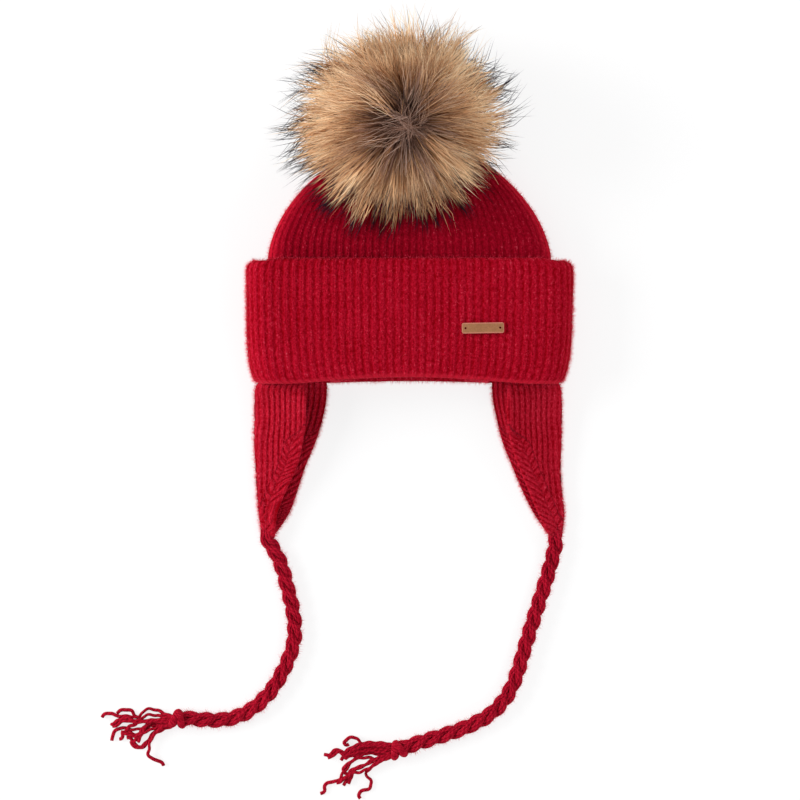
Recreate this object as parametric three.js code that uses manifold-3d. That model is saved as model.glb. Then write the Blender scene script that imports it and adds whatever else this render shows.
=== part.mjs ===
// Knit earflap hat with a folded cuff, two plaited ties and a fur pompom, lying
// on its back. X runs across the front, Y from the flaps to the pompom, Z up.
import * as THREE from 'three';
import { mergeVertices } from 'three/addons/utils/BufferGeometryUtils.js';
import Module from 'manifold-3d';

const wasm = await Module();
wasm.setup();

// Driving dimensions in millimetres.
const HALF_LENGTH = 193.8;
const HAT_HEIGHT = 38;
const CUFF_HALF_WIDTH = 120;
const CUFF_MOUTH_Y = -82.6;
const CUFF_TOP_Y = 9.2;
const CUFF_WALL = 5;
const CROWN_WALL = 3.4;
const FLAP_WALL = 3.6;
const RIB_COUNT = 84;
const RIB_DEPTH = 1.1;
const FLAP_RIBS = 16;
const GAP = 0.3;
const BRAID_DIAMETER = 11;
const YARN_RADIUS = 1.2;
const POMPOM_CENTRE = new THREE.Vector3(-7.5, 110, 56);
const POMPOM_HEAD_RADIUS = 62;
const POMPOM_LOCKS = 48;
const LOCK_ROOT = 44;
const LOCK_RADIUS = 26;
const WHORL = new THREE.Vector3(0.12, -0.24, 0.96).normalize();
const WHORL_DEPTH = 9;
const WHORL_RADIUS = 40;
const LABEL = { length: 30.6, width: 7.7, thickness: 1.2, corner: 1.4, hole: 0.8, holeInset: 2.7 };

const wool = { color: 0xa31124, roughness: 0.95, metalness: 0 };
const darkWool = { color: 0x8f0f20, roughness: 0.95, metalness: 0 };
const fur = { color: 0xb98e5c, roughness: 0.9, metalness: 0 };
const leather = { color: 0xa8703c, roughness: 0.6, metalness: 0 };

const hat = new THREE.Group();

function addPiece(name, geometry, finish) {
  const piece = new THREE.Mesh(geometry, new THREE.MeshStandardMaterial(finish));
  piece.name = name;
  hat.add(piece);
  return piece;
}

// A closed surface under construction: rows of points with strips between them.
class Skin {
  constructor() {
    this.points = [];
    this.triangles = [];
  }

  row(points) {
    const first = this.points.length;
    this.points.push(...points);
    return points.map((_, index) => first + index);
  }

  // Joins two rows of any lengths, always stepping along the one that lags.
  strip(first, second) {
    let i = 0;
    let j = 0;
    while (i < first.length - 1 || j < second.length - 1) {
      const nextFirst = (i + 1) / (first.length - 1);
      const nextSecond = (j + 1) / (second.length - 1);
      if (i < first.length - 1 && nextFirst <= nextSecond) {
        this.triangles.push([first[i], first[i + 1], second[j]]);
        i += 1;
      } else {
        this.triangles.push([first[i], second[j + 1], second[j]]);
        j += 1;
      }
    }
  }

  band(first, second) {
    const close = (ring) => (ring.length > 1 ? [...ring, ring[0]] : ring);
    this.strip(close(first), close(second));
  }

  geometry() {
    const corners = this.triangles.map((triangle) => triangle.map((index) => this.points[index]));
    const volume = corners.reduce((sum, [a, b, c]) => sum + a.dot(b.clone().cross(c)), 0);
    const outward = this.triangles.map(([a, b, c]) => (volume > 0 ? [a, b, c] : [a, c, b]));
    const geometry = new THREE.BufferGeometry();
    const positions = this.points.flatMap((point) => point.toArray());
    geometry.setAttribute('position', new THREE.Float32BufferAttribute(positions, 3));
    geometry.setIndex(outward.flat());
    geometry.computeVertexNormals();
    return geometry;
  }
}

function smooth(value) {
  return THREE.MathUtils.smoothstep(value, 0, 1);
}

// One ring of a flattened knit tube: straight runs joined by round folds at the
// sides. Every second point drops into the groove between two ribs, except where
// the tube's own weight presses it flat. The front edge lifts by the row's arch.
function knitRing(row, inset, columns, ribDepth) {
  const round = Math.min(row.fold, 0.9 * row.halfWidth) - inset;
  const run = row.halfWidth - inset - round;
  const low = row.bottom + inset;
  const high = row.top - inset;
  const middle = (low + high) / 2;
  const rise = (high - low) / 2;
  const outline = new THREE.Path();
  outline.moveTo(0, high);
  outline.lineTo(run, high);
  outline.absellipse(run, middle, round, rise, Math.PI / 2, -Math.PI / 2, true);
  outline.lineTo(-run, low);
  outline.absellipse(-run, middle, round, rise, -Math.PI / 2, -1.5 * Math.PI, true);
  outline.lineTo(0, high);
  const spaced = outline.getSpacedPoints(columns).slice(0, columns);
  return spaced.map((point, index) => {
    const before = spaced[(index + columns - 1) % columns];
    const after = spaced[(index + 1) % columns];
    const inward = new THREE.Vector2(after.y - before.y, before.x - after.x).normalize();
    const free = smooth((point.y - low) / (0.7 * rise));
    const depth = index % 2 === 1 ? ribDepth * free : 0;
    const x = point.x + inward.x * depth;
    const z = point.y + inward.y * depth;
    const front = smooth((point.y - middle) / rise);
    const across = Math.max(0, 1 - (point.x / Math.max(run, 1)) ** 2);
    const archAcross = Math.max(0, 1 - (point.x / 85) ** 2) ** 2;
    return new THREE.Vector3(x, row.y + row.arch * front * archAcross, z + row.dome * front * across);
  });
}

// Cuff: the knit brim folded up once into a thick band. A row is one ring, from
// the mouth up the outside, over the top edge and down the inside.
const cuffRows = [
  { y: -80.8, halfWidth: 115.5, inset: 0.8, arch: 3.8, columns: 2 * RIB_COUNT },
  { y: -74, halfWidth: 118.6, inset: 0, arch: 2.8, columns: 2 * RIB_COUNT },
  { y: 3, halfWidth: CUFF_HALF_WIDTH, inset: 0, arch: 0, columns: 2 * RIB_COUNT },
  { y: 7.8, halfWidth: 119.2, inset: 0.8, arch: 0, columns: 2 * RIB_COUNT },
  { y: CUFF_TOP_Y, halfWidth: 118.4, inset: 2.6, arch: 0, columns: 2 * RIB_COUNT },
  { y: 3, halfWidth: CUFF_HALF_WIDTH, inset: CUFF_WALL, arch: 0, columns: RIB_COUNT },
  { y: -74, halfWidth: 118.6, inset: CUFF_WALL, arch: 2.8, columns: RIB_COUNT },
  { y: -79.6, halfWidth: 117, inset: CUFF_WALL, arch: 3.6, columns: RIB_COUNT },
  { y: CUFF_MOUTH_Y, halfWidth: 114.2, inset: 2.8, arch: 4, columns: RIB_COUNT },
];

function cuffGeometry() {
  const skin = new Skin();
  const rings = cuffRows.map((row) => {
    const shape = { ...row, bottom: 0, top: HAT_HEIGHT, fold: HAT_HEIGHT / 2, dome: 2 };
    const ribDepth = row.inset < 3 && row.columns > RIB_COUNT ? RIB_DEPTH : 0;
    return skin.row(knitRing(shape, row.inset, row.columns, ribDepth));
  });
  rings.forEach((ring, index) => skin.band(ring, rings[(index + 1) % rings.length]));
  return skin.geometry();
}

addPiece('cuff', cuffGeometry(), wool);

// Crown: one ribbed bag, open at the mouth inside the cuff and gathered shut
// under the pompom. The ribs halve in number twice on the way to the tip.
// A row marked lined shapes the inner face too.
const cuffClear = CUFF_WALL + GAP;
const insideCuff = { bottom: cuffClear, top: HAT_HEIGHT - cuffClear, fold: HAT_HEIGHT / 2 - cuffClear };
const crownRows = [
  { y: -79.6, halfWidth: 117 - cuffClear, ...insideCuff, dome: 2, arch: 3.6, ribs: RIB_COUNT, lined: true },
  { y: -74, halfWidth: 118.6 - cuffClear, ...insideCuff, dome: 2, arch: 2.8, ribs: RIB_COUNT, lined: true },
  { y: 3, halfWidth: 110, ...insideCuff, dome: 1.8, arch: 0, ribs: RIB_COUNT, lined: false },
  { y: 11, halfWidth: 103.6, ...insideCuff, dome: 2, arch: 0, ribs: RIB_COUNT, lined: true },
  { y: 24, halfWidth: 100, bottom: 0, top: 32.5, fold: 16, dome: 3, arch: 0, ribs: RIB_COUNT, lined: true },
  { y: 38, halfWidth: 93.5, bottom: 0, top: 31, fold: 16, dome: 3, arch: 0, ribs: RIB_COUNT, lined: false },
  { y: 54, halfWidth: 84, bottom: 0, top: 29, fold: 15, dome: 3, arch: 0, ribs: RIB_COUNT, lined: true },
  { y: 68, halfWidth: 71, bottom: 0, top: 26, fold: 14, dome: 3, arch: 0, ribs: RIB_COUNT, lined: true },
  { y: 82, halfWidth: 57, bottom: 0.5, top: 22.5, fold: 12, dome: 2, arch: 0, ribs: RIB_COUNT / 2, lined: true },
  { y: 94, halfWidth: 36, bottom: 2, top: 19, fold: 10, dome: 1, arch: 0, ribs: RIB_COUNT / 4, lined: true },
];
const crownTip = new THREE.Vector3(0, 101, 11);

function crownGeometry() {
  const skin = new Skin();
  const towardsMouth = [...crownRows].reverse();
  const outside = towardsMouth.map((row) => skin.row(knitRing(row, 0, 2 * row.ribs, RIB_DEPTH)));
  const inside = crownRows
    .filter((row) => row.lined)
    .map((row) => skin.row(knitRing(row, CROWN_WALL, 40, 0)));
  const outerPole = skin.row([crownTip]);
  const innerPole = skin.row([crownTip.clone().setY(crownTip.y - 2 * CROWN_WALL)]);
  const chain = [outerPole, ...outside, ...inside, innerPole];
  chain.slice(1).forEach((ring, index) => skin.band(chain[index], ring));
  return skin.geometry();
}

addPiece('crown', crownGeometry(), wool);

// Earflaps: each is a ribbed panel folded double along its outer side, its root
// tucked into the mouth. A row holds the fold, the two free edges and the heights.
const leftFlapRows = [
  { y: -64, fold: -105.6, front: -77, back: -62, bottom: 10.2, top: 26.4 },
  { y: -81, fold: -106.4, front: -75.5, back: -60.5, bottom: 10.2, top: 26.8 },
  { y: -91, fold: -113.2, front: -75, back: -60.8, bottom: 5, top: 27.5 },
  { y: -104, fold: -114.6, front: -75.3, back: -63, bottom: 0, top: 26 },
  { y: -124, fold: -115.1, front: -78, back: -68.5, bottom: 0, top: 21 },
  { y: -143.7, fold: -113.8, front: -82.2, back: -76.3, bottom: 0, top: 17.5 },
  { y: -161.4, fold: -113.2, front: -90.1, back: -82.2, bottom: 0, top: 14.5 },
  { y: -179, fold: -112.1, front: -97.2, back: -89.2, bottom: 0, top: 12.4 },
  { y: -HALF_LENGTH, fold: -110.4, front: -99.4, back: -99.2, bottom: 0, top: 11 },
];
const rightFlapRows = [
  { y: -64, fold: 105.6, front: 72.5, back: 60, bottom: 10.2, top: 26.4 },
  { y: -81, fold: 106.4, front: 71, back: 60, bottom: 10.2, top: 26.8 },
  { y: -91, fold: 111.6, front: 70.5, back: 61.5, bottom: 5, top: 27.5 },
  { y: -104, fold: 112.6, front: 70.8, back: 63.8, bottom: 0, top: 26 },
  { y: -124, fold: 112.9, front: 73.6, back: 68, bottom: 0, top: 21 },
  { y: -143.7, fold: 112.1, front: 80, back: 75.6, bottom: 0, top: 17.5 },
  { y: -161.4, fold: 113.2, front: 87.4, back: 83.3, bottom: 0, top: 14.5 },
  { y: -179, fold: 115.2, front: 95.3, back: 92.5, bottom: 0, top: 12.4 },
  { y: -HALF_LENGTH, fold: 113.6, front: 102.6, back: 102.4, bottom: 0, top: 11 },
];

// The middle line of a folded panel, square to Y, from its front edge round the
// fold to its back edge. The front layer sags towards the back one at its edge.
function foldedLine(row, count) {
  const side = Math.sign(row.fold);
  const radius = (row.top - row.bottom - FLAP_WALL) / 2;
  const middle = (row.top + row.bottom) / 2;
  const bendX = row.fold - side * (FLAP_WALL / 2 + radius);
  const turn = side > 0;
  const line = new THREE.Path();
  line.moveTo(row.front, middle + radius);
  line.lineTo(bendX, middle + radius);
  line.absellipse(bendX, middle, radius, radius, Math.PI / 2, turn ? -Math.PI / 2 : 1.5 * Math.PI, turn);
  line.lineTo(row.back, middle - radius);
  const slack = Math.max(0, 2 * radius - FLAP_WALL - 0.6);
  return line.getSpacedPoints(count).map((point) => {
    const along = (bendX - point.x) / (bendX - row.front);
    const sag = point.y > middle ? 0.5 * slack * smooth(along) : 0;
    return new THREE.Vector2(point.x, point.y - sag);
  });
}

function flapRing(row, skin) {
  const side = Math.sign(row.fold);
  const layer = (count, offset, ribDepth) => {
    const line = foldedLine(row, count);
    return line.map((point, index) => {
      const before = line[Math.max(0, index - 1)];
      const after = line[Math.min(count, index + 1)];
      const outward = new THREE.Vector2(before.y - after.y, after.x - before.x).normalize();
      const free = smooth((point.y - row.bottom - FLAP_WALL / 2) / 4);
      const depth = index % 2 === 1 ? ribDepth * free : 0;
      const shift = side * (offset - depth);
      return new THREE.Vector3(point.x + outward.x * shift, row.y, point.y + outward.y * shift);
    });
  };
  const outer = skin.row(layer(2 * FLAP_RIBS, FLAP_WALL / 2, 0.9));
  const inner = skin.row(layer(FLAP_RIBS / 2, -FLAP_WALL / 2, 0));
  return { outer, inner, loop: [...outer, ...[...inner].reverse()] };
}

function flapGeometry(rows) {
  const skin = new Skin();
  const rings = rows.map((row) => flapRing(row, skin));
  rings.slice(1).forEach((ring, index) => skin.band(rings[index].loop, ring.loop));
  const last = rings[rings.length - 1];
  skin.strip(rings[0].inner, rings[0].outer);
  skin.strip(last.outer, last.inner);
  return skin.geometry();
}

addPiece('flap_left', flapGeometry(leftFlapRows), wool);
addPiece('flap_right', flapGeometry(rightFlapRows), wool);

// Solids for cutting and joining.
function toSolid(geometry) {
  const bare = geometry.clone();
  bare.deleteAttribute('normal');
  bare.deleteAttribute('uv');
  const merged = mergeVertices(bare, 1e-4);
  const mesh = new wasm.Mesh({
    numProp: 3,
    vertProperties: new Float32Array(merged.attributes.position.array),
    triVerts: new Uint32Array(merged.index.array),
  });
  return new wasm.Manifold(mesh);
}

function fromSolid(solid) {
  const mesh = solid.getMesh();
  const geometry = new THREE.BufferGeometry();
  geometry.setAttribute('position', new THREE.BufferAttribute(new Float32Array(mesh.vertProperties), 3));
  geometry.setIndex(new THREE.BufferAttribute(new Uint32Array(mesh.triVerts), 1));
  geometry.computeVertexNormals();
  return geometry;
}

// The crown's outer form without ribs, one gap larger, as a closed plug.
function crownClearance() {
  const skin = new Skin();
  const rows = crownRows.filter((row) => row.y >= 3);
  const rings = rows.map((row) => skin.row(knitRing(row, -GAP - 0.2, 60, 0)));
  const heel = skin.row([new THREE.Vector3(0, rows[0].y, HAT_HEIGHT / 2)]);
  const nose = skin.row([crownTip.clone().setY(crownTip.y + GAP + 0.2)]);
  const chain = [heel, ...rings, nose];
  chain.slice(1).forEach((ring, index) => skin.band(chain[index], ring));
  return toSolid(skin.geometry());
}

// Pompom: fur locks standing out of a round head on all sides but at the whorl on
// top, where the fur parts and leaves a hollow. It lies against the gathered end
// of the crown and is pressed flat on the surface below.
function pompomGeometry() {
  const head = new THREE.SphereGeometry(POMPOM_HEAD_RADIUS, 18, 10);
  let body = toSolid(head);
  const up = new THREE.Vector3(0, 1, 0);
  const lockOf = (reach) => {
    const lock = new THREE.ConeGeometry(LOCK_RADIUS, reach - LOCK_ROOT, 5);
    return lock.translate(0, (reach + LOCK_ROOT) / 2, 0);
  };
  for (let index = 0; index < POMPOM_LOCKS; index += 1) {
    const climb = 1 - (2 * index + 1) / POMPOM_LOCKS;
    const heading = index * Math.PI * (3 - Math.sqrt(5));
    const flat = Math.sqrt(1 - climb * climb);
    const away = new THREE.Vector3(flat * Math.cos(heading), flat * Math.sin(heading), climb);
    if (away.angleTo(WHORL) < 0.3) {
      continue;
    }
    const reach = 75 + 3 * Math.sin(2.4 * index);
    const lock = lockOf(reach);
    lock.applyQuaternion(new THREE.Quaternion().setFromUnitVectors(up, away));
    body = body.add(toSolid(lock));
  }
  body = body.add(toSolid(lockOf(HALF_LENGTH - POMPOM_CENTRE.y)));
  const hollow = WHORL.clone().multiplyScalar(POMPOM_HEAD_RADIUS - WHORL_DEPTH + WHORL_RADIUS);
  body = body.subtract(toSolid(new THREE.SphereGeometry(WHORL_RADIUS, 16, 12).translate(...hollow.toArray())));
  body = body.translate(POMPOM_CENTRE.toArray());
  const below = new THREE.BoxGeometry(400, 400, 100);
  below.translate(0, POMPOM_CENTRE.y, -50);
  body = body.subtract(toSolid(below)).subtract(crownClearance());
  const largest = body.decompose().sort((a, b) => b.volume() - a.volume())[0];
  return fromSolid(largest);
}

addPiece('pompom', pompomGeometry(), fur);

// Label: a small leather plate with a stitch hole at each end, lying on the ribs.
function labelGeometry() {
  const halfLength = LABEL.length / 2;
  const halfWidth = LABEL.width / 2;
  const outline = new THREE.Shape();
  outline.moveTo(-halfLength + LABEL.corner, -halfWidth);
  outline.lineTo(halfLength - LABEL.corner, -halfWidth);
  outline.quadraticCurveTo(halfLength, -halfWidth, halfLength, -halfWidth + LABEL.corner);
  outline.lineTo(halfLength, halfWidth - LABEL.corner);
  outline.quadraticCurveTo(halfLength, halfWidth, halfLength - LABEL.corner, halfWidth);
  outline.lineTo(-halfLength + LABEL.corner, halfWidth);
  outline.quadraticCurveTo(-halfLength, halfWidth, -halfLength, halfWidth - LABEL.corner);
  outline.lineTo(-halfLength, -halfWidth + LABEL.corner);
  outline.quadraticCurveTo(-halfLength, -halfWidth, -halfLength + LABEL.corner, -halfWidth);
  for (const end of [-1, 1]) {
    const hole = new THREE.Path();
    hole.absarc(end * (halfLength - LABEL.holeInset), 0, LABEL.hole, 0, 2 * Math.PI, true);
    outline.holes.push(hole);
  }
  return new THREE.ExtrudeGeometry(outline, { depth: LABEL.thickness, bevelEnabled: false, curveSegments: 3 });
}

const labelX = 53.2;
const label = addPiece('label', labelGeometry(), leather);
label.position.set(labelX, -42, HAT_HEIGHT + 2 * (1 - (labelX / 101) ** 2) + GAP);
label.rotation.set(0, (4 * labelX) / 101 ** 2, THREE.MathUtils.degToRad(1));

// Braids: each hangs from a flap's tip and lies in a curve on the surface. The
// points are the middle of the plait, in X and Y, from the flap to the knot.
const BRAID_HEIGHT = BRAID_DIAMETER / 2 + 0.1;
const leftBraidRoute = [
  [-104.9, -194.2], [-104.9, -197.6], [-99.6, -206.4], [-94.5, -217.4], [-90.4, -232.2], [-87.2, -246],
  [-85.2, -261], [-86, -275], [-89.8, -287], [-95, -298], [-101.6, -308.3], [-110, -317.4],
  [-121, -325.5], [-133.3, -330.2], [-145.6, -331.4], [-157, -330.6], [-165.5, -329.8],
];
const rightBraidRoute = [
  [108.1, -194.2], [108.1, -199], [106.4, -208.6], [103.4, -220.5], [98.8, -235.3], [93.9, -249.8],
  [89.2, -264.4], [84.9, -279.2], [81, -293.2], [76.3, -305.8], [69.8, -316.6], [60, -326.4],
  [46.6, -334.4], [32.4, -340.2], [18, -344.6], [5, -348.4], [-2.4, -350.7],
];

function yarnTube(points, radius, sides, steps) {
  const section = new THREE.Shape();
  section.absarc(0, 0, radius, 0, 2 * Math.PI, false);
  const path = new THREE.CatmullRomCurve3(points);
  const options = { steps, curveSegments: sides / 2, bevelEnabled: false, extrudePath: path };
  return new THREE.ExtrudeGeometry(section, options);
}

function braidGeometry(route) {
  const points = route.map(([x, y]) => new THREE.Vector3(x, y, BRAID_HEIGHT));
  return yarnTube(points, BRAID_DIAMETER / 2, 8, 15);
}

addPiece('braid_left', braidGeometry(leftBraidRoute), darkWool);
addPiece('braid_right', braidGeometry(rightBraidRoute), darkWool);

// Tassels: the braid's yarns tied in one knot, their loose ends lying in waves.
// A row is one end: how far it reaches in X and Y, how it bows and how it waves.
const leftTassel = {
  knot: new THREE.Vector3(-171.5, -329.9, 6),
  size: new THREE.Vector3(5.6, 6.2, 5.9),
  ends: [
    { x: -58, y: -0.5, bow: 1.5, wave: 2, waves: 2.5 },
    { x: -45.5, y: 3.4, bow: -4, wave: 1, waves: 1.5 },
    { x: -50.2, y: -3.9, bow: -1, wave: 1.6, waves: 2 },
    { x: -48.7, y: -18, bow: -4, wave: 2, waves: 1.5 },
    { x: -44.8, y: -15.4, bow: -2, wave: 1.2, waves: 2.5 },
    { x: -38.8, y: -16.9, bow: 6, wave: 2, waves: 1.5 },
    { x: -11, y: -36.2, bow: -9, wave: 2, waves: 1.5 },
    { x: -31, y: 2.3, bow: -4, wave: 0.8, waves: 1 },
  ],
};
const rightTassel = {
  knot: new THREE.Vector3(-8.8, -352.8, 6),
  size: new THREE.Vector3(6.4, 6.2, 5.9),
  ends: [
    { x: -41, y: 6.9, bow: 3, wave: 2.4, waves: 1.5 },
    { x: -56, y: -4.9, bow: 1, wave: 1.6, waves: 2 },
    { x: -42.1, y: -8.4, bow: -1, wave: 1, waves: 1.5 },
    { x: -58, y: -33.9, bow: 2, wave: 2.4, waves: 2.5 },
    { x: -39.8, y: -28.2, bow: 1, wave: 1.4, waves: 1.5 },
    { x: -28, y: -36.8, bow: 3, wave: 2.6, waves: 2 },
    { x: -46, y: -20, bow: 2, wave: 1.6, waves: 2 },
    { x: -36, y: -17, bow: -2, wave: 1.4, waves: 1.5 },
  ],
};

function tasselGeometry({ knot, size, ends }) {
  const ball = new THREE.SphereGeometry(1, 10, 8);
  ball.scale(size.x, size.y, size.z);
  ball.translate(knot.x, knot.y, knot.z);
  let body = toSolid(ball);
  for (const end of ends) {
    const reach = new THREE.Vector3(end.x, end.y, 0);
    const across = new THREE.Vector3(-end.y, end.x, 0).normalize();
    const points = [];
    for (let step = 0; step <= 10; step += 1) {
      const part = step / 10;
      const wave = end.wave * Math.sqrt(part) * Math.sin(2 * Math.PI * end.waves * part);
      const bow = 4 * end.bow * part * (1 - part);
      const point = reach.clone().multiplyScalar(part).addScaledVector(across, bow + wave);
      const height = THREE.MathUtils.lerp(knot.z - 0.6, YARN_RADIUS + 0.1, smooth(2.2 * part));
      points.push(new THREE.Vector3(knot.x + point.x, knot.y + point.y, height));
    }
    body = body.add(toSolid(yarnTube(points, YARN_RADIUS, 4, 6)));
  }
  return fromSolid(body);
}

addPiece('tassel_left', tasselGeometry(leftTassel), darkWool);
addPiece('tassel_right', tasselGeometry(rightTassel), darkWool);

export default hat;
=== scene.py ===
import bmesh
import bpy
import numpy as np
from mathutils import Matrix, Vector


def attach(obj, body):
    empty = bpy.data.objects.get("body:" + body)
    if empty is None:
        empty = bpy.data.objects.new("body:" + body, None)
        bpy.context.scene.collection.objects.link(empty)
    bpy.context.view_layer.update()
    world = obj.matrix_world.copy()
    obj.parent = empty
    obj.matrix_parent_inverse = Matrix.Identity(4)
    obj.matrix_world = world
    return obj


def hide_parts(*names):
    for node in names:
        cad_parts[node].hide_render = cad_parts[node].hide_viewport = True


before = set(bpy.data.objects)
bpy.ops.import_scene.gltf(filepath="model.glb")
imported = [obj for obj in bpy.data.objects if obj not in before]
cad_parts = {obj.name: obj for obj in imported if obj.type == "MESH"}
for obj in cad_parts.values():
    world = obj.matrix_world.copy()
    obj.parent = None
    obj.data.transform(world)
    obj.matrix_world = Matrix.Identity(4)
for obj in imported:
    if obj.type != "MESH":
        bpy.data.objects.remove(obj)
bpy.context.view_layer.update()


# Camera: straight above the hat, as it was photographed lying flat. Its frame
# is a stated width at the height where the cuff is widest.
CAMERA_PLACE = (-0.0070, -0.0943, 1.8)
SEEN_WIDTH = 0.5872
SEEN_AT_HEIGHT = 0.020
SENSOR = 36


def stand(name, data):
    """Puts a camera, mesh, curve or light into the scene as an object."""
    made = bpy.data.objects.new(name, data)
    bpy.context.scene.collection.objects.link(made)
    return made


lens = bpy.data.cameras.new("camera")
lens.sensor_width = SENSOR
lens.lens = SENSOR * (CAMERA_PLACE[2] - SEEN_AT_HEIGHT) / SEEN_WIDTH
lens.clip_end = 20
camera = stand("camera", lens)
camera.location = CAMERA_PLACE
bpy.context.scene.camera = camera


# Braids: the ties are flat plaits of three strands, each a bundle of soft wool
# yarns, that grow out of the flaps' tips and lie in a curve on the surface.
PLAIT_PITCH = 0.035
PLAIT_SWAY = 0.0031
PLAIT_LIFT = 0.0012
PLAIT_TWIST = 0.0014
YARN_RADIUS = 0.00105
YARN_SIDES = 6
PLY_PITCH = 0.004
BUNDLE_RADIUS = 0.00175
BRAID_MIDDLE = 0.0051
FLAP_TUCK = 0.004
KNOT_TUCK = 0.005
LOOSE_WAVE = 0.011
BUNDLE_PITCH = 0.06
TABLE_GAP = 0.0001
STRANDS = 3
BUNDLE = 6
RIM_ROW = 1.9
# Wool colours. Deep and lit hold painted shade and light: the knitting's grooves lean to deep, its crests to
# lit.
WOOL_DEEP = (0.215, 0.0, 0.003, 1)
WOOL_LIT = (0.40, 0.0045, 0.020, 1)
# Bright: a painted highlight on the brightest crests, which also colours pale fibre specks.
WOOL_BRIGHT = (0.66, 0.075, 0.115, 1)
# Painted highlight on the cuff's rolled rim.
WOOL_RIM_HIGHLIGHT = (0.55, 0.013, 0.034, 1)
# Painted highlight on the crown's side folds.
WOOL_FOLD_HIGHLIGHT = (0.62, 0.009, 0.030, 1)
WOOL_BLOOM = (1.0, 0.22, 0.26, 1)

left_route = [
    (-0.1049, -0.1942), (-0.1049, -0.1976), (-0.0996, -0.2064), (-0.0945, -0.2174), (-0.0904, -0.2322),
    (-0.0872, -0.2460), (-0.0852, -0.2610), (-0.0860, -0.2750), (-0.0898, -0.2870), (-0.0950, -0.2980),
    (-0.1016, -0.3083), (-0.1100, -0.3174), (-0.1210, -0.3255), (-0.1333, -0.3302), (-0.1456, -0.3314),
    (-0.1570, -0.3306), (-0.1655, -0.3298),
]
right_route = [
    (0.1081, -0.1942), (0.1081, -0.1990), (0.1064, -0.2086), (0.1034, -0.2205), (0.0988, -0.2353),
    (0.0939, -0.2498), (0.0892, -0.2644), (0.0849, -0.2792), (0.0810, -0.2932), (0.0763, -0.3058),
    (0.0698, -0.3166), (0.0600, -0.3264), (0.0466, -0.3344), (0.0324, -0.3402), (0.0180, -0.3446),
    (0.0050, -0.3484), (-0.0024, -0.3507),
]


class Signal:
    """A socket of a material's tree. Sums on it add Math nodes to the tree."""

    def __init__(self, tree, socket=None):
        self.tree = tree
        self.socket = socket

    def add(self, kind, settings=None, out=0, **sockets):
        """Adds a node, its settings first and then the values or links of its sockets,
        which go by name, or by number as s0, s1 and so on."""
        node = self.tree.nodes.new(kind)
        for name, value in (settings or {}).items():
            if name == "stops":
                while len(node.color_ramp.elements) < len(value):
                    node.color_ramp.elements.new(1)
                for stop, (place, colour) in zip(node.color_ramp.elements, value):
                    stop.position = place
                    stop.color = colour
            else:
                setattr(node, name, value)
        for name, value in sockets.items():
            socket = node.inputs[int(name[1:]) if name[1:].isdigit() else name.replace("_", " ")]
            if isinstance(value, Signal):
                self.tree.links.new(value.socket, socket)
            elif value is not None:
                socket.default_value = value
        return Signal(self.tree, node.outputs[out])

    def math(self, operation, first, second=None):
        """A Math node that works on one value or two."""
        return self.add("ShaderNodeMath", {"operation": operation}, s0=first, s1=second)

    def __add__(self, other):
        return self.math("ADD", self, other)

    def __radd__(self, other):
        return self.math("ADD", other, self)

    def __sub__(self, other):
        return self.math("SUBTRACT", self, other)

    def __rsub__(self, other):
        return self.math("SUBTRACT", other, self)

    def __mul__(self, other):
        return self.math("MULTIPLY", self, other)

    def __rmul__(self, other):
        return self.math("MULTIPLY", other, self)

    def __abs__(self):
        return self.math("ABSOLUTE", self, 0)

    def feed(self, shader, name):
        """Links the value to a socket of the shader."""
        self.tree.links.new(self.socket, shader.inputs[name])

    def within(self, low, high):
        """Runs from 0 to 1 as the value runs from low to high, with soft ends."""
        settings = {"interpolation_type": "SMOOTHSTEP"}
        return self.add("ShaderNodeMapRange", settings, Value=self, From_Min=low, From_Max=high)

    def mix(self, below, above):
        """The colour below where the value is 0, and the colour above where it is 1."""
        return self.add("ShaderNodeMix", {"data_type": "RGBA"}, out=2, s0=self, s6=below, s7=above)

    def grain(self, place, scale, detail=2.0, roughness=0.5):
        """Soft noise round 0.5, as fine as its scale is high."""
        wanted = {"Scale": scale, "Detail": detail, "Roughness": roughness}
        return self.add("ShaderNodeTexNoise", None, Vector=place, **wanted)

    def part(self, place, axis):
        """One coordinate of a place, counted from 0."""
        return self.add("ShaderNodeSeparateXYZ", None, out=axis, Vector=place)


def new_finish(name, **fixed):
    """A material with one Principled shader that holds the fixed values."""
    made = bpy.data.materials.new(name)
    made.use_nodes = True
    shader = made.node_tree.nodes["Principled BSDF"]
    for socket, value in fixed.items():
        shader.inputs[socket.replace("_", " ")].default_value = value
    return made, shader, Signal(made.node_tree)


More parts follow.
